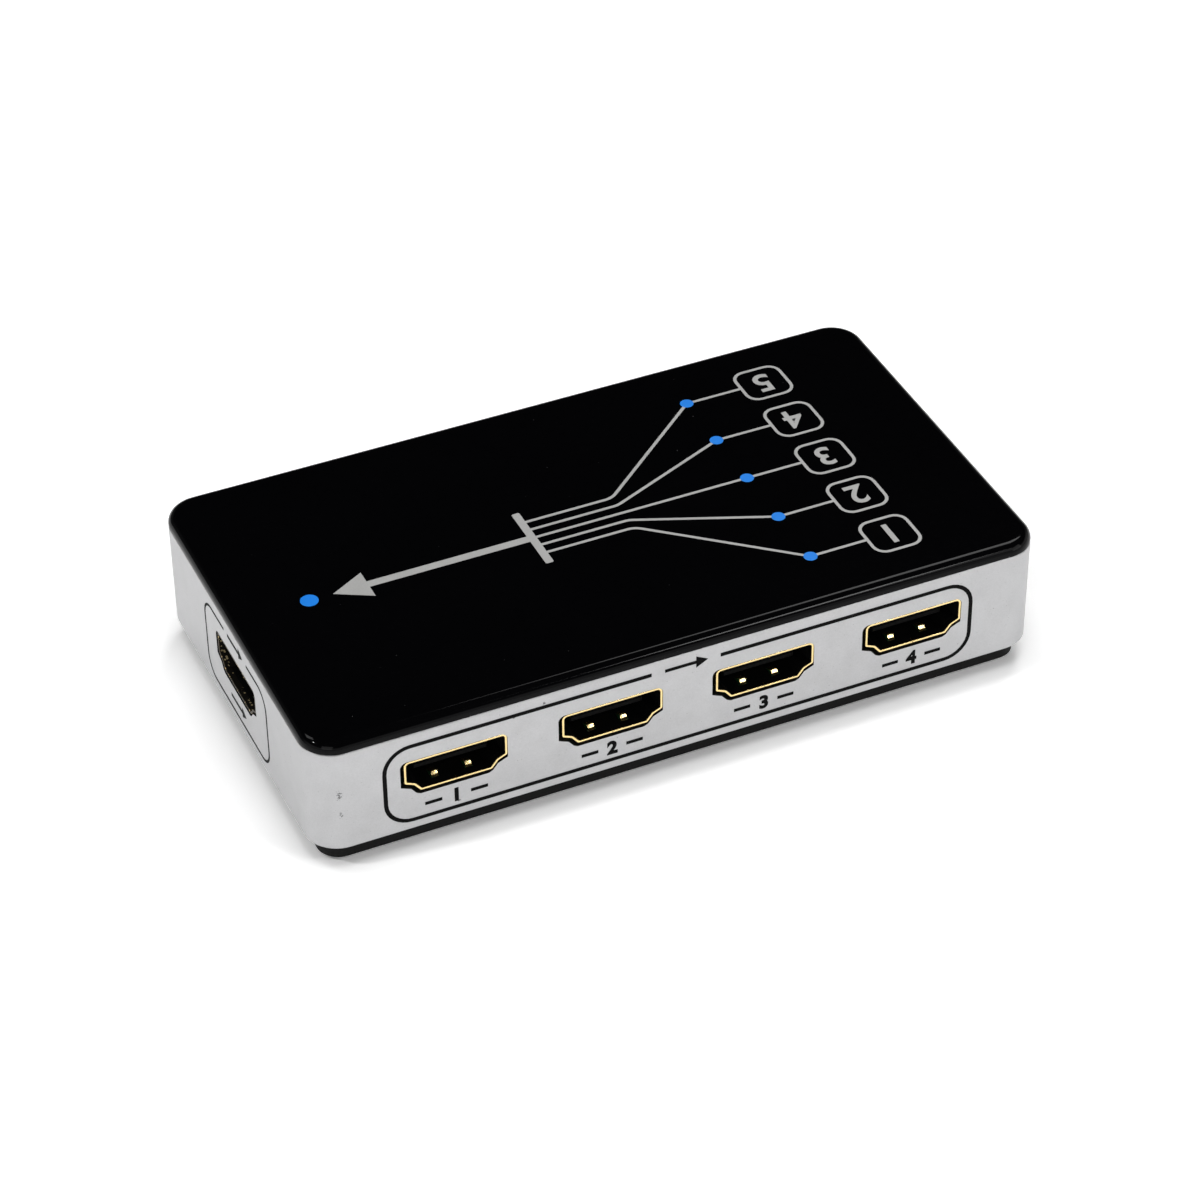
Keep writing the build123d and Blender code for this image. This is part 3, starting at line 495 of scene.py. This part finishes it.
def shell_surface():
    """The shell in its own place: x across, y up, z into the case. Half the outline runs
    from the seam up to the middle of the top, with points at the fingers' edges, and is
    mirrored. Each row of the grid lies at one depth. The mouth is a bead whose nose is a
    squared-off half circle, sine and cosine raised to one power. Behind it the sheet thins
    and steps inwards, and a bump lifts a finger inwards by a cosine squared of the depth, a
    little less towards the finger's edges. Four legs, plain blocks, run down to the board.
    The inner faces, but for the fingers, belong to the second slot, black painted shade for
    the dark inside of the socket."""
    edge, hair = finger_width / 2, 1e-9
    places = np.array([-edge - finger_slit, -edge, -edge / 2, 0, edge / 2, edge])
    columns = finger_place + places
    low, high = -lip_height / 2, lip_height / 2
    start = finger_place + edge + finger_slit
    turns = [
        (start, low), (keel_width / 2, low),
        (lip_width / 2 - shelf_run, high - cheek_height - shelf_drop),
        (lip_width / 2, high - cheek_height), (lip_width / 2, high), (start, high),
    ]
    bottom = np.column_stack([[seam_gap / 2, *columns], np.full(len(columns) + 1, low)])
    top = np.column_stack([columns[::-1], np.full(len(columns), high)])
    half = np.vstack([bottom, rounded(turns, turn_radii), top])
    path = np.vstack([half, half[::-1] * (-1, 1)])
    outward = sidewards(path)

    nose = np.linspace(0, math.pi / 2, bead_count)
    bump = bump_depth + bump_reach * np.linspace(-1, 1, bump_count)
    depth = np.concatenate([
        bead_nose * (1 - np.cos(nose) ** bead_square) - mouth_forward,
        [lip_length * thin_start, lip_length, lip_length * thin_end],
        [finger_start], bump, [finger_middle, finger_root, shell_length],
    ])
    thinning = thin_end - thin_start
    behind = np.clip(depth / lip_length - thin_start, 0, thinning) / thinning
    half_sheet = (bead_thickness + (sheet_thickness - bead_thickness) * behind) / 2
    middle = -half_sheet - lip_step * behind
    half_sheet[:bead_count] *= np.sin(nose) ** bead_square

    on_wall = np.abs(np.abs(path[:, 1]) - high) < hair
    off_centre = np.abs(np.abs(path[:, 0]) - finger_place)
    on_finger = on_wall & (off_centre < edge + hair)
    crown = np.where(on_finger, 1 - bump_crown * (off_centre / edge) ** 2, 0)
    lift = np.cos(np.clip((depth - bump_depth) / bump_reach, -1, 1) * math.pi / 2) ** 2
    pressed = bump_height * crown[:, None] * lift[None, :]
    skins = []
    for way in (1, -1):
        shift = middle + way * half_sheet - pressed
        flat = path[:, None, :] + outward[:, None, :] * shift[..., None]
        deep = np.broadcast_to(depth[:, None], shift.shape + (1,))
        skins.append(np.concatenate([flat, deep], -1))

    mid_x = np.abs(path[:-1, 0] + path[1:, 0]) / 2
    wall_cell = on_wall[:-1] & on_wall[1:]
    away = np.abs(mid_x - finger_place)
    slit = wall_cell & (away > edge) & (away < edge + finger_slit)
    finger = wall_cell & (away < edge)
    mid_depth = (depth[:-1] + depth[1:]) / 2
    cut = (mid_depth > finger_start) & (mid_depth < finger_root)
    gap = cut & (mid_depth < bump_depth - bump_reach)
    kept = ~((slit[:, None] & cut) | (finger[:, None] & gap))
    # Inner cells coloured black as painted shade: all behind the bead but the fingers
    painted_shade_cells = (mid_depth > bead_nose - mouth_forward) & ~(finger[:, None] & cut)
    points, faces = sheet_metal(*skins, kept)
    faces = [faces]
    cheek_foot = high - cheek_height
    for side in (-1, 1):
        wall = side * (lip_width / 2 - lip_step)
        inside = wall - side * sheet_thickness
        for place in leg_depths:
            corners, sides = slab(
                (min(wall, inside), -leg_foot, place - leg_width / 2),
                (max(wall, inside), cheek_foot, place + leg_width / 2),
            )
            faces.append(sides + len(points))
            points = np.concatenate([points, corners])
    points[:, :2] += mouth_shift
    faces = np.concatenate(faces)
    slots = np.zeros(len(faces), int)
    # The sheet's inner cells follow its outer ones
    slots[kept.sum():2 * kept.sum()] = painted_shade_cells[kept]
    return points, faces, slots


def seen_from(outward):
    """Directions on an upright outside face: to the right as seen from outside, up, out."""
    out = np.array(outward, float)
    return np.cross((0, 0, 1), out), np.array([0.0, 0, 1]), out


def socket_mouth(name):
    """Middle of a socket's mouth, with right, up and out, from its CAD shell's box."""
    low, high = (np.array(corner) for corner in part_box(f"{name}_shell"))
    right, up, out = seen_from(socket_sides[name])
    centre = (low + high) / 2
    centre[2] = high[2] - lip_height / 2
    centre = np.where(out > 0, high, np.where(out < 0, low, centre))
    return centre, right, up, out


shell_plating = finish(
    "shell_plating", (0.88, 0.68, 0.32), rough=0.24, grain=2500.0, tone_swing=0.12,
    rough_swing=0.12, relief=1e-6, Metallic=1.0,
)
# Black insulator resin; on the shells' inner faces the same black is painted shade
insulator_and_painted_shade = finish(
    "insulator_and_painted_shade", (0.002, 0.002, 0.002), rough=0.55, grain=3500.0, tone_swing=0.3,
    rough_swing=0.15, relief=4e-6, Specular_IOR_Level=0.06,
)
# Painted shade with painted gold glints: the inside of the output socket
output_inside_painted_shade_and_glints = finish(
    "output_inside_painted_shade_and_glints", (0.006, 0.005, 0.004), rough=0.5, grain=3500.0, tone_swing=0.3,
    rough_swing=0.15, relief=4e-6, specks=((0.30, 0.24, 0.13), 3000.0, 0.5),
    Specular_IOR_Level=0.1,
)
# Painted shade with painted gold glints: the output's gold shell, darkened
output_gold_painted_shade_and_glints = finish(
    "output_gold_painted_shade_and_glints", (0.05, 0.04, 0.025), rough=0.45, grain=3500.0, tone_swing=0.5,
    rough_swing=0.2, relief=4e-6, specks=((0.55, 0.42, 0.2), 3600.0, 0.45), Metallic=1.0,
)
contact_plating = finish(
    "contact_plating", (0.85, 0.62, 0.26), rough=0.2, grain=3500.0, tone_swing=0.1,
    rough_swing=0.1, relief=1e-6, Metallic=1.0,
)
shell_points, shell_faces, shell_slots = shell_surface()
for name in socket_sides:
    origin, right, up, out = socket_mouth(name)
    placed = origin + shell_points @ np.stack([right, up, -out])
    shell = piece(
        f"{name}_shell_finished", placed, shell_faces, crease=40.0, slots=shell_slots
    )
    # The output's shell carries painted shade: its gold darkened to a dull brown and its
    # inside black, each with painted glints of gold in specks
    dark = name == "output"
    shell.data.materials.append(output_gold_painted_shade_and_glints if dark else shell_plating)
    shell.data.materials.append(output_inside_painted_shade_and_glints if dark else insulator_and_painted_shade)
    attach(shell, "case")
    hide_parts(f"{name}_shell")
    wear(insulator_and_painted_shade, f"{name}_insulator")
    wear(contact_plating, f"{name}_contacts")

# Power jack: a black moulded block whose round nose fills a hole in the band, with a
# nickel-plated centre pin and a sprung outer contact.
jack_resin = finish(
    "jack_resin", (0.008, 0.008, 0.008), rough=0.35, grain=3000.0, tone_swing=0.3,
    rough_swing=0.2, relief=3e-6, Specular_IOR_Level=0.4,
)
jack_nickel = finish(
    "jack_nickel", (0.66, 0.63, 0.56), rough=0.2, grain=2500.0, tone_swing=0.1,
    rough_swing=0.15, relief=1e-6, Metallic=1.0,
)
smoothed("jack_housing", jack_resin)
smoothed("jack_centre_pin", jack_nickel)
wear(jack_nickel, "jack_spring_contact")

# Select button: a polished black key that stands out of a slot in the band, and behind it
# a push switch with a steel face plate.
key_polish = finish(
    "key_polish", (0.006, 0.006, 0.007), rough=0.14, grain=1200.0, tone_swing=0.3,
    rough_swing=0.08, relief=0.0, specks=((0.10, 0.10, 0.10), 1600.0, 0.06),
)
smoothed("select_button_cap", key_polish, "select_button")
switch_resin = finish(
    "switch_resin", (0.02, 0.02, 0.02), rough=0.45, grain=3000.0, tone_swing=0.3,
    rough_swing=0.2, relief=3e-6,
)
wear(switch_resin, "switch_housing", "switch_plunger")
switch_steel = finish(
    "switch_steel", (0.55, 0.55, 0.55), rough=0.3, grain=2200.0, tone_swing=0.12,
    rough_swing=0.2, relief=2e-6, Metallic=1.0,
)
wear(switch_steel, "switch_bracket")

# Infrared window: a plug of smoked deep-red acrylic in a slot, flush with the band, and
# behind it the receiver in black epoxy.
window_acrylic = finish(
    "window_acrylic", (0.030, 0.002, 0.004), rough=0.06, grain=900.0, tone_swing=0.3,
    rough_swing=0.05, relief=0.0, Specular_IOR_Level=0.25,
)
smoothed("infrared_window", window_acrylic)
receiver_epoxy = finish(
    "receiver_epoxy", (0.01, 0.01, 0.011), rough=0.2, grain=1500.0, tone_swing=0.3,
    rough_swing=0.1, relief=0.0,
)
wear(receiver_epoxy, "infrared_receiver")

# Lamps: round light-emitting diodes in tinted epoxy, each with a domed nose, lying in
# holes of the band. Five blue ones show the channel and a red one the power.
channel_count = 5
dome_depth, turn_count, dome_count = 0.0011, 40, 10


def lamp_body(low, high):
    """A lamp that faces +Y, from its CAD box: a surface of revolution about Y. Its profile
    is a quarter ellipse from the nose to the full radius, then straight back to a disc."""
    radius = (high[2] - low[2]) / 2
    t = np.linspace(0, math.pi / 2, dome_count)
    reach = np.concatenate([radius * np.sin(t), [radius, 0]])
    depth = np.concatenate([dome_depth * (1 - np.cos(t)), [high[1] - low[1]] * 2])
    turns = np.linspace(0, 2 * math.pi, turn_count, endpoint=False)[:, None]
    x = (low[0] + high[0]) / 2 + reach * np.cos(turns)
    z = (low[2] + high[2]) / 2 + reach * np.sin(turns)
    return np.stack([x, np.broadcast_to(high[1] - depth, x.shape), z], -1).reshape(-1, 3)


def quads(rows, columns, wrap_rows, wrap_columns):
    """Corner numbers of the faces of a grid whose points are counted row by row."""
    r = np.arange(rows if wrap_rows else rows - 1)[:, None]
    c = np.arange(columns if wrap_columns else columns - 1)[None, :]
    r_next, c_next = (r + 1) % rows, (c + 1) % columns
    ring = [r * columns + c, r_next * columns + c]
    ring += [r_next * columns + c_next, r * columns + c_next]
    return np.stack(ring, -1).reshape(-1, 4)


def lamp_row(node, count, material):
    """Lamps side by side that together fill a CAD node's box."""
    low, high = (np.array(corner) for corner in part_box(node))
    across = high[2] - low[2]
    faces = quads(turn_count, dome_count + 2, True, False)
    points, corners = [], []
    for number, left in enumerate(np.linspace(low[0], high[0] - across, count)):
        body = lamp_body((left, low[1], low[2]), (left + across, high[1], high[2]))
        corners.append(faces + number * len(body))
        points.append(body)
    made = piece(node + "_domed", np.vstack(points), np.vstack(corners))
    made.data.materials.append(material)
    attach(made, "case")
    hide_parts(node)


blue_epoxy = finish(
    "blue_epoxy", (0.02, 0.12, 0.75), rough=0.12, grain=1500.0, tone_swing=0.2,
    rough_swing=0.06, relief=0.0, Transmission_Weight=0.35, IOR=1.5,
)
red_epoxy = finish(
    "red_epoxy", (0.70, 0.012, 0.01), rough=0.12, grain=1500.0, tone_swing=0.2,
    rough_swing=0.06, relief=0.0, Transmission_Weight=0.35, IOR=1.5,
)
lamp_row("channel_lamps", channel_count, blue_epoxy)
lamp_row("power_lamp", 1, red_epoxy)

# Side band: a ring moulded in black plastic and sprayed satin silver on its outside, with
# a fine metallic flake and a few small scuffs. The black of its unpainted inside is also
# painted shade in the gaps round the sockets. It springs over the sockets' noses.
band_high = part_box("side_band")[1]
corner_radius, paint_wrap = 0.0049, 0.00025
scuff_grain, scuff_reach, scuff_colour = 4500.0, 1.6, (0.17, 0.17, 0.17, 1)
scuff_middle, scuff_rim = 0.40, 0.75
band_paint = finish(
    "band_paint", (0.50, 0.50, 0.507), rough=0.40, grain=5200.0, tone_swing=0.20,
    rough_swing=0.10, relief=2e-6, specks=((0.16, 0.16, 0.16), 230.0, 0.05), Metallic=0.6,
)
# Scuffs near the left front corner and under the first socket: place and half size
scuffs = (
    ((-0.0513, -0.0300, 0.0131), (0.0004, 0.0010, 0.0008)),
    ((-0.0512, -0.0300, 0.0097), (0.0003, 0.0010, 0.0006)),
    ((-0.0347, -0.0303, 0.0064), (0.0003, 0.0010, 0.0003)),
)
tree = band_paint.node_tree
shader = next(node for node in tree.nodes if node.type == "BSDF_PRINCIPLED")
given = wire(tree, "TexCoord")
ragged = wire(
    tree, "TexNoise",
    {"Vector": given.outputs["Object"], "Scale": scuff_grain, "Detail": 2.0},
)
worn = 0.0
for place, reach in scuffs:
    offset = wire(
        tree, "VectorMath", {0: given.outputs["Object"], 1: place}, operation="SUBTRACT"
    )
    scaled = wire(tree, "VectorMath", {0: offset.outputs[0], 1: reach}, operation="DIVIDE")
    away = wire(tree, "VectorMath", {0: scaled.outputs[0]}, operation="LENGTH")
    # Bare where the noise passes a limit that rises with the distance, in half sizes
    limit = wire(
        tree, "MapRange",
        {
            "Value": away.outputs["Value"], "From Min": 0.0, "From Max": scuff_reach,
            "To Min": scuff_middle, "To Max": scuff_rim,
        },
    )
    bare = wire(
        tree, "Math", {0: ragged.outputs["Fac"], 1: limit.outputs[0]},
        operation="GREATER_THAN",
    )
    worn = wire(
        tree, "Math", {0: bare.outputs[0], 1: worn}, operation="MAXIMUM"
    ).outputs[0]
paint_colour = shader.inputs["Base Color"].links[0].from_socket
marked = wire(tree, "Mix", {0: worn, 6: paint_colour, 7: scuff_colour}, data_type="RGBA")
tree.links.new(marked.outputs[2], shader.inputs["Base Color"])
band_core_painted_shade = finish(
    "band_core_painted_shade", (0.006, 0.006, 0.006), rough=0.6, grain=3000.0, tone_swing=0.3,
    rough_swing=0.2, relief=4e-6, Specular_IOR_Level=0.2,
)
band = smoothed("side_band", band_paint)
band.data.materials.append(band_core_painted_shade)
points = np.empty(3 * len(band.data.vertices))
band.data.vertices.foreach_get("co", points)
# How deep each point lies under the outside, a rectangle with round corners in plan
beyond = np.abs(points.reshape(-1, 3)[:, :2]) - (np.array(band_high)[:2] - corner_radius)
outside = np.linalg.norm(np.maximum(beyond, 0), axis=1)
depth = corner_radius - outside - np.minimum(beyond.max(1), 0)
corners = np.empty(3 * len(band.data.polygons), int)
band.data.polygons.foreach_get("vertices", corners)
# Faces deeper than the paint's wrap take the black core, painted shade inside the openings
unpainted = depth[corners.reshape(-1, 3)].max(1) > paint_wrap
band.data.polygons.foreach_set("material_index", unpainted.astype(int))


# Print on the band: black ink, screen printed. Frames stand round the sockets, each with a
# gap in its top line that holds a small arrow. Plain numbers mark inputs and lamps, on the
# long side between short dashes.
def side_of(outward, distance):
    """An upright outside face at that distance from the middle: a point on it, then right,
    up and out."""
    right, up, out = seen_from(outward)
    return out * distance, right, up, out


def stroke(path, width, closed=False):
    """A printed line: its rails stand half the width to each side of the path. Each point
    is (right, up, level), with level 0 below and 1 above."""
    path = np.asarray(path, float)
    side = sidewards(path, closed) * width / 2
    rails = np.stack([path + side, path + side, path - side, path - side], 1)
    levels = np.broadcast_to([0.0, 1.0, 1.0, 0.0], rails.shape[:2])
    points = np.concatenate([rails, levels[..., None]], -1).reshape(-1, 3)
    faces = quads(len(path), 4, closed, True).tolist()
    if not closed:
        last = 4 * (len(path) - 1)
        faces += [[3, 2, 1, 0], [last, last + 1, last + 2, last + 3]]
    return points, faces


def patch(outline):
    """A printed filled shape: its outline at both levels, and a face over each."""
    outline = np.asarray(outline, float)
    count = len(outline)
    rings = [np.column_stack([outline, np.full(count, level)]) for level in (0.0, 1.0)]
    faces = quads(2, count, False, True).tolist()
    return np.vstack(rings), faces + [list(range(count)), list(range(count, 2 * count))]


def figure(text, centre, tall, weight):
    """A figure in the plain built-in typeface, made a mesh, thickened by the weight all
    round, then scaled to its height and centred. With more steps to each bend than these,
    the thickened outline of some figures crosses itself and loses its filling."""
    bend_steps, half_depth = 4, 0.5
    curve = bpy.data.curves.new("figure", "FONT")
    curve.body, curve.size, curve.extrude = text, 1.0, half_depth
    curve.offset, curve.resolution_u = weight / tall, bend_steps
    holder = bpy.data.objects.new("figure", curve)
    mesh = bpy.data.meshes.new_from_object(holder)
    points = np.empty(3 * len(mesh.vertices))
    mesh.vertices.foreach_get("co", points)
    points = points.reshape(-1, 3)
    faces = [list(face.vertices) for face in mesh.polygons]
    low, high = points[:, :2].min(0), points[:, :2].max(0)
    flat = (points[:, :2] - (low + high) / 2) * tall / (high - low)[1] + centre
    bpy.data.objects.remove(holder)
    bpy.data.curves.remove(curve)
    bpy.data.meshes.remove(mesh)
    return np.column_stack([flat, points[:, 2] + half_depth]), faces


def arrow(tail, tip, weight, head):
    """A straight arrow: its shaft, and a filled head whose wings stand out to each side by
    a share of its length."""
    wing_share = 0.55
    tail, tip = np.array(tail, float), np.array(tip, float)
    along = (tip - tail) / np.linalg.norm(tip - tail)
    side = np.array([-along[1], along[0]])
    neck = tip - along * head
    wing = side * head * wing_share
    return [stroke([tail, neck], weight), patch([neck + wing, neck - wing, tip])]


def ink(name, shapes, face, material, thickness=2e-5):
    """One print: all its shapes laid on a face of the object, as thick as a coat of ink,
    and reaching into the surface by half as much. It moves with the case."""
    sunk_share = 0.5
    origin, right, up, out = face
    points, faces, count = [], [], 0
    for flat, corners in shapes:
        level = (flat[:, 2:] * (1 + sunk_share) - sunk_share) * thickness
        points.append(origin + flat[:, :1] * right + flat[:, 1:2] * up + level * out)
        faces += [[count + corner for corner in face] for face in corners]
        count += len(flat)
    made = piece(name, np.vstack(points), faces, crease=5.0)
    made.data.materials.append(material)
    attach(made, "case")


def socket_frame(ends, gap, shaft, turn, weight, head):
    """A frame between two ends along the side, with round corners. Its top line is open
    along the gap, where an arrow lies along the shaft."""
    (left, right), (gap_left, gap_right), (tail, tip) = ends, gap, shaft
    corners = [(gap_left, frame_high), (left, frame_high), (left, frame_low)]
    corners += [(right, frame_low), (right, frame_high), (gap_right, frame_high)]
    line = stroke(rounded(corners, turn, steps=frame_turn_steps), weight)
    return [line] + arrow((tail, frame_high), (tip, frame_high), arrow_line, head)


def numeral(number, place, level):
    """A number centred on a place along the side and a level above the floor."""
    return figure(str(number), (place, level), figure_height, figure_weight)


black_ink = finish(
    "black_ink", (0.0015, 0.0015, 0.0015), rough=0.6, grain=4000.0, tone_swing=0.3,
    rough_swing=0.1, relief=1e-6, Specular_IOR_Level=0.06,
)
frame_low, frame_high, frame_turn_steps = 0.00524, 0.01813, 9
figure_height, figure_level, figure_weight = 0.0024, 0.0074, 0.00012
arrow_line, arrow_reach, dash_ends = 0.00055, 0.003, (0.0021, 0.0046)
# Radius of the frame's corners, width of its line and length of its arrow's head
front_style, end_style = (0.0038, 0.00062, 0.0018), (0.0029, 0.00042, 0.0016)
end_head = end_style[-1]

front = side_of((0, -1, 0), -cad_low.y)
front_frame, front_gap = (-0.04484, 0.04378), (-0.0056, 0.0048)
front_shaft = (-0.0036, 0.0029)
marks = socket_frame(front_frame, front_gap, front_shaft, *front_style)
for number in front_inputs:
    place = socket_mouth(f"input_{number}")[0][0]
    marks.append(numeral(number, place, figure_level))
    for side in (-1, 1):
        dash = [(place + side * end, figure_level) for end in dash_ends]
        marks.append(stroke(dash, arrow_line))
ink("front_print", marks, front, black_ink)

left_end = side_of((-1, 0, 0), -cad_low.x)
left_frame, left_gap = (-0.0118, 0.0126), (-0.00367, 0.00524)
left_shaft = (-0.0022, 0.0038)
marks = socket_frame(left_frame, left_gap, left_shaft, *end_style)
place = -socket_mouth("output")[0][1]
tail, tip = (place - arrow_reach, figure_level), (place + arrow_reach, figure_level)
marks += arrow(tail, tip, arrow_line, end_head)
ink("output_print", marks, left_end, black_ink)

right_end = side_of((1, 0, 0), cad_high.x)
right_reach, right_gap_reach = 0.0105, 0.0045
place = socket_mouth("input_5")[0][1]
spans = [
    (place - reach, place + reach) for reach in (right_reach, right_gap_reach, arrow_reach)
]
marks = socket_frame(*spans, *end_style)
marks.append(numeral(5, place, figure_level))
ink("fifth_input_print", marks, right_end, black_ink)

user_side = side_of((0, 1, 0), band_high.y)
lamp_figure_drop = 0.0024
lamps_low, lamps_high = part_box("channel_lamps")
lamp_across = lamps_high.z - lamps_low.z
lefts = np.linspace(lamps_high.x - lamp_across, lamps_low.x, channel_count)
marks = [
    numeral(number + 1, -left - lamp_across / 2, lamps_low.z - lamp_figure_drop)
    for number, left in enumerate(lefts)
]
ink("lamp_print", marks, user_side, black_ink)

# Top cover: one gloss black moulding with a rounded edge, whose skirt plugs into the band
# from above. Its polish carries a little dust. Four zinc-plated steel screws, driven from
# below through the tray and the board, hold it.
cover_gloss = finish(
    "cover_gloss", (0.0012, 0.0012, 0.0015), rough=0.07, grain=900.0, tone_swing=0.3,
    rough_swing=0.05, relief=0.0, specks=((0.05, 0.05, 0.05), 700.0, 0.035),
    Specular_IOR_Level=0.10,
)
smoothed("top_cover", cover_gloss)
screw_zinc = finish(
    "screw_zinc", (0.25, 0.25, 0.26), rough=0.35, grain=2500.0, tone_swing=0.2,
    rough_swing=0.1, relief=2e-6, Metallic=1.0,
)
smoothed("case_screws", screw_zinc)

# Print on the cover: silver and blue ink, screen printed, read from the user's side. Five
# numbered squares lead along thin lines, each with a blue dot, into one bar, and one arrow
# leaves it towards a last blue dot.
silver_ink = finish(
    "silver_ink", (0.46, 0.46, 0.45), rough=0.45, grain=4000.0, tone_swing=0.2,
    rough_swing=0.1, relief=1e-6, Metallic=0.2,
)
blue_ink = finish(
    "blue_ink", (0.004, 0.22, 0.80), rough=0.4, grain=4000.0, tone_swing=0.2,
    rough_swing=0.1, relief=1e-6,
)
badge_column, badge_pitch, badge_size = -0.036, 0.0101, 0.0072
badge_turn, badge_figure, badge_weight = badge_size / 4, badge_size * 0.6, 0.00008
lane_line, lane_pitch, lane_turn = 0.00048, 0.0019, 0.003
fan_start, fan_end = -0.0235, -0.004
bar_place, bar_half, bar_reach = 0.010, 0.0006, 0.0062
exit_tip, exit_line, exit_head = 0.040, 0.0013, 0.0052
dot_radius, dot_count = 0.0010, 28
exit_dot_gap, exit_dot_radius = 0.0035, 1.3 * dot_radius
unit_square = np.array([(-1, -1), (1, -1), (1, 1), (-1, 1)])


def disc(centre, radius):
    """A filled round dot: points at even turns round its centre."""
    turns = np.linspace(0, 2 * math.pi, dot_count, endpoint=False)
    rim = np.column_stack([np.cos(turns), np.sin(turns)])
    return patch(np.array(centre) + radius * rim)


cover_face = (
    np.array([0, 0, cad_high.z]), np.array([-1.0, 0, 0]), np.array([0, -1.0, 0]),
    np.array([0, 0, 1.0]),
)
badge_edge = badge_column + (badge_size + lane_line) / 2
silver, blue = [], []
for number in range(1, channel_count + 1):
    above_middle = (channel_count + 1) // 2 - number
    row, lane = above_middle * badge_pitch, above_middle * lane_pitch
    centre = np.array([badge_column, row])
    badge = rounded(centre + badge_size / 2 * unit_square, badge_turn, True)
    silver.append(stroke(badge, lane_line, True))
    silver.append(figure(str(number), centre, badge_figure, badge_weight))
    route = [(badge_edge, row), (bar_place - bar_half, lane)]
    if row:
        route[1:1] = [(fan_start, row), (fan_end, lane)]
        route = rounded(route, lane_turn)
    silver.append(stroke(route, lane_line))
    blue.append(disc((fan_start, row), dot_radius))
bar = (bar_half, bar_reach) * unit_square + (bar_place, 0)
silver.append(patch(rounded(bar, bar_half / 2, True)))
silver += arrow((bar_place + bar_half, 0), (exit_tip, 0), exit_line, exit_head)
blue.append(disc((exit_tip + exit_dot_gap, 0), exit_dot_radius))
ink("cover_print_silver", silver, cover_face, silver_ink)
ink("cover_print_blue", blue, cover_face, blue_ink, thickness=3e-5)

size = {
    "cad": [list(cad_low), list(cad_high)],
    "visual": [list(corner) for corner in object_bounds()],
}
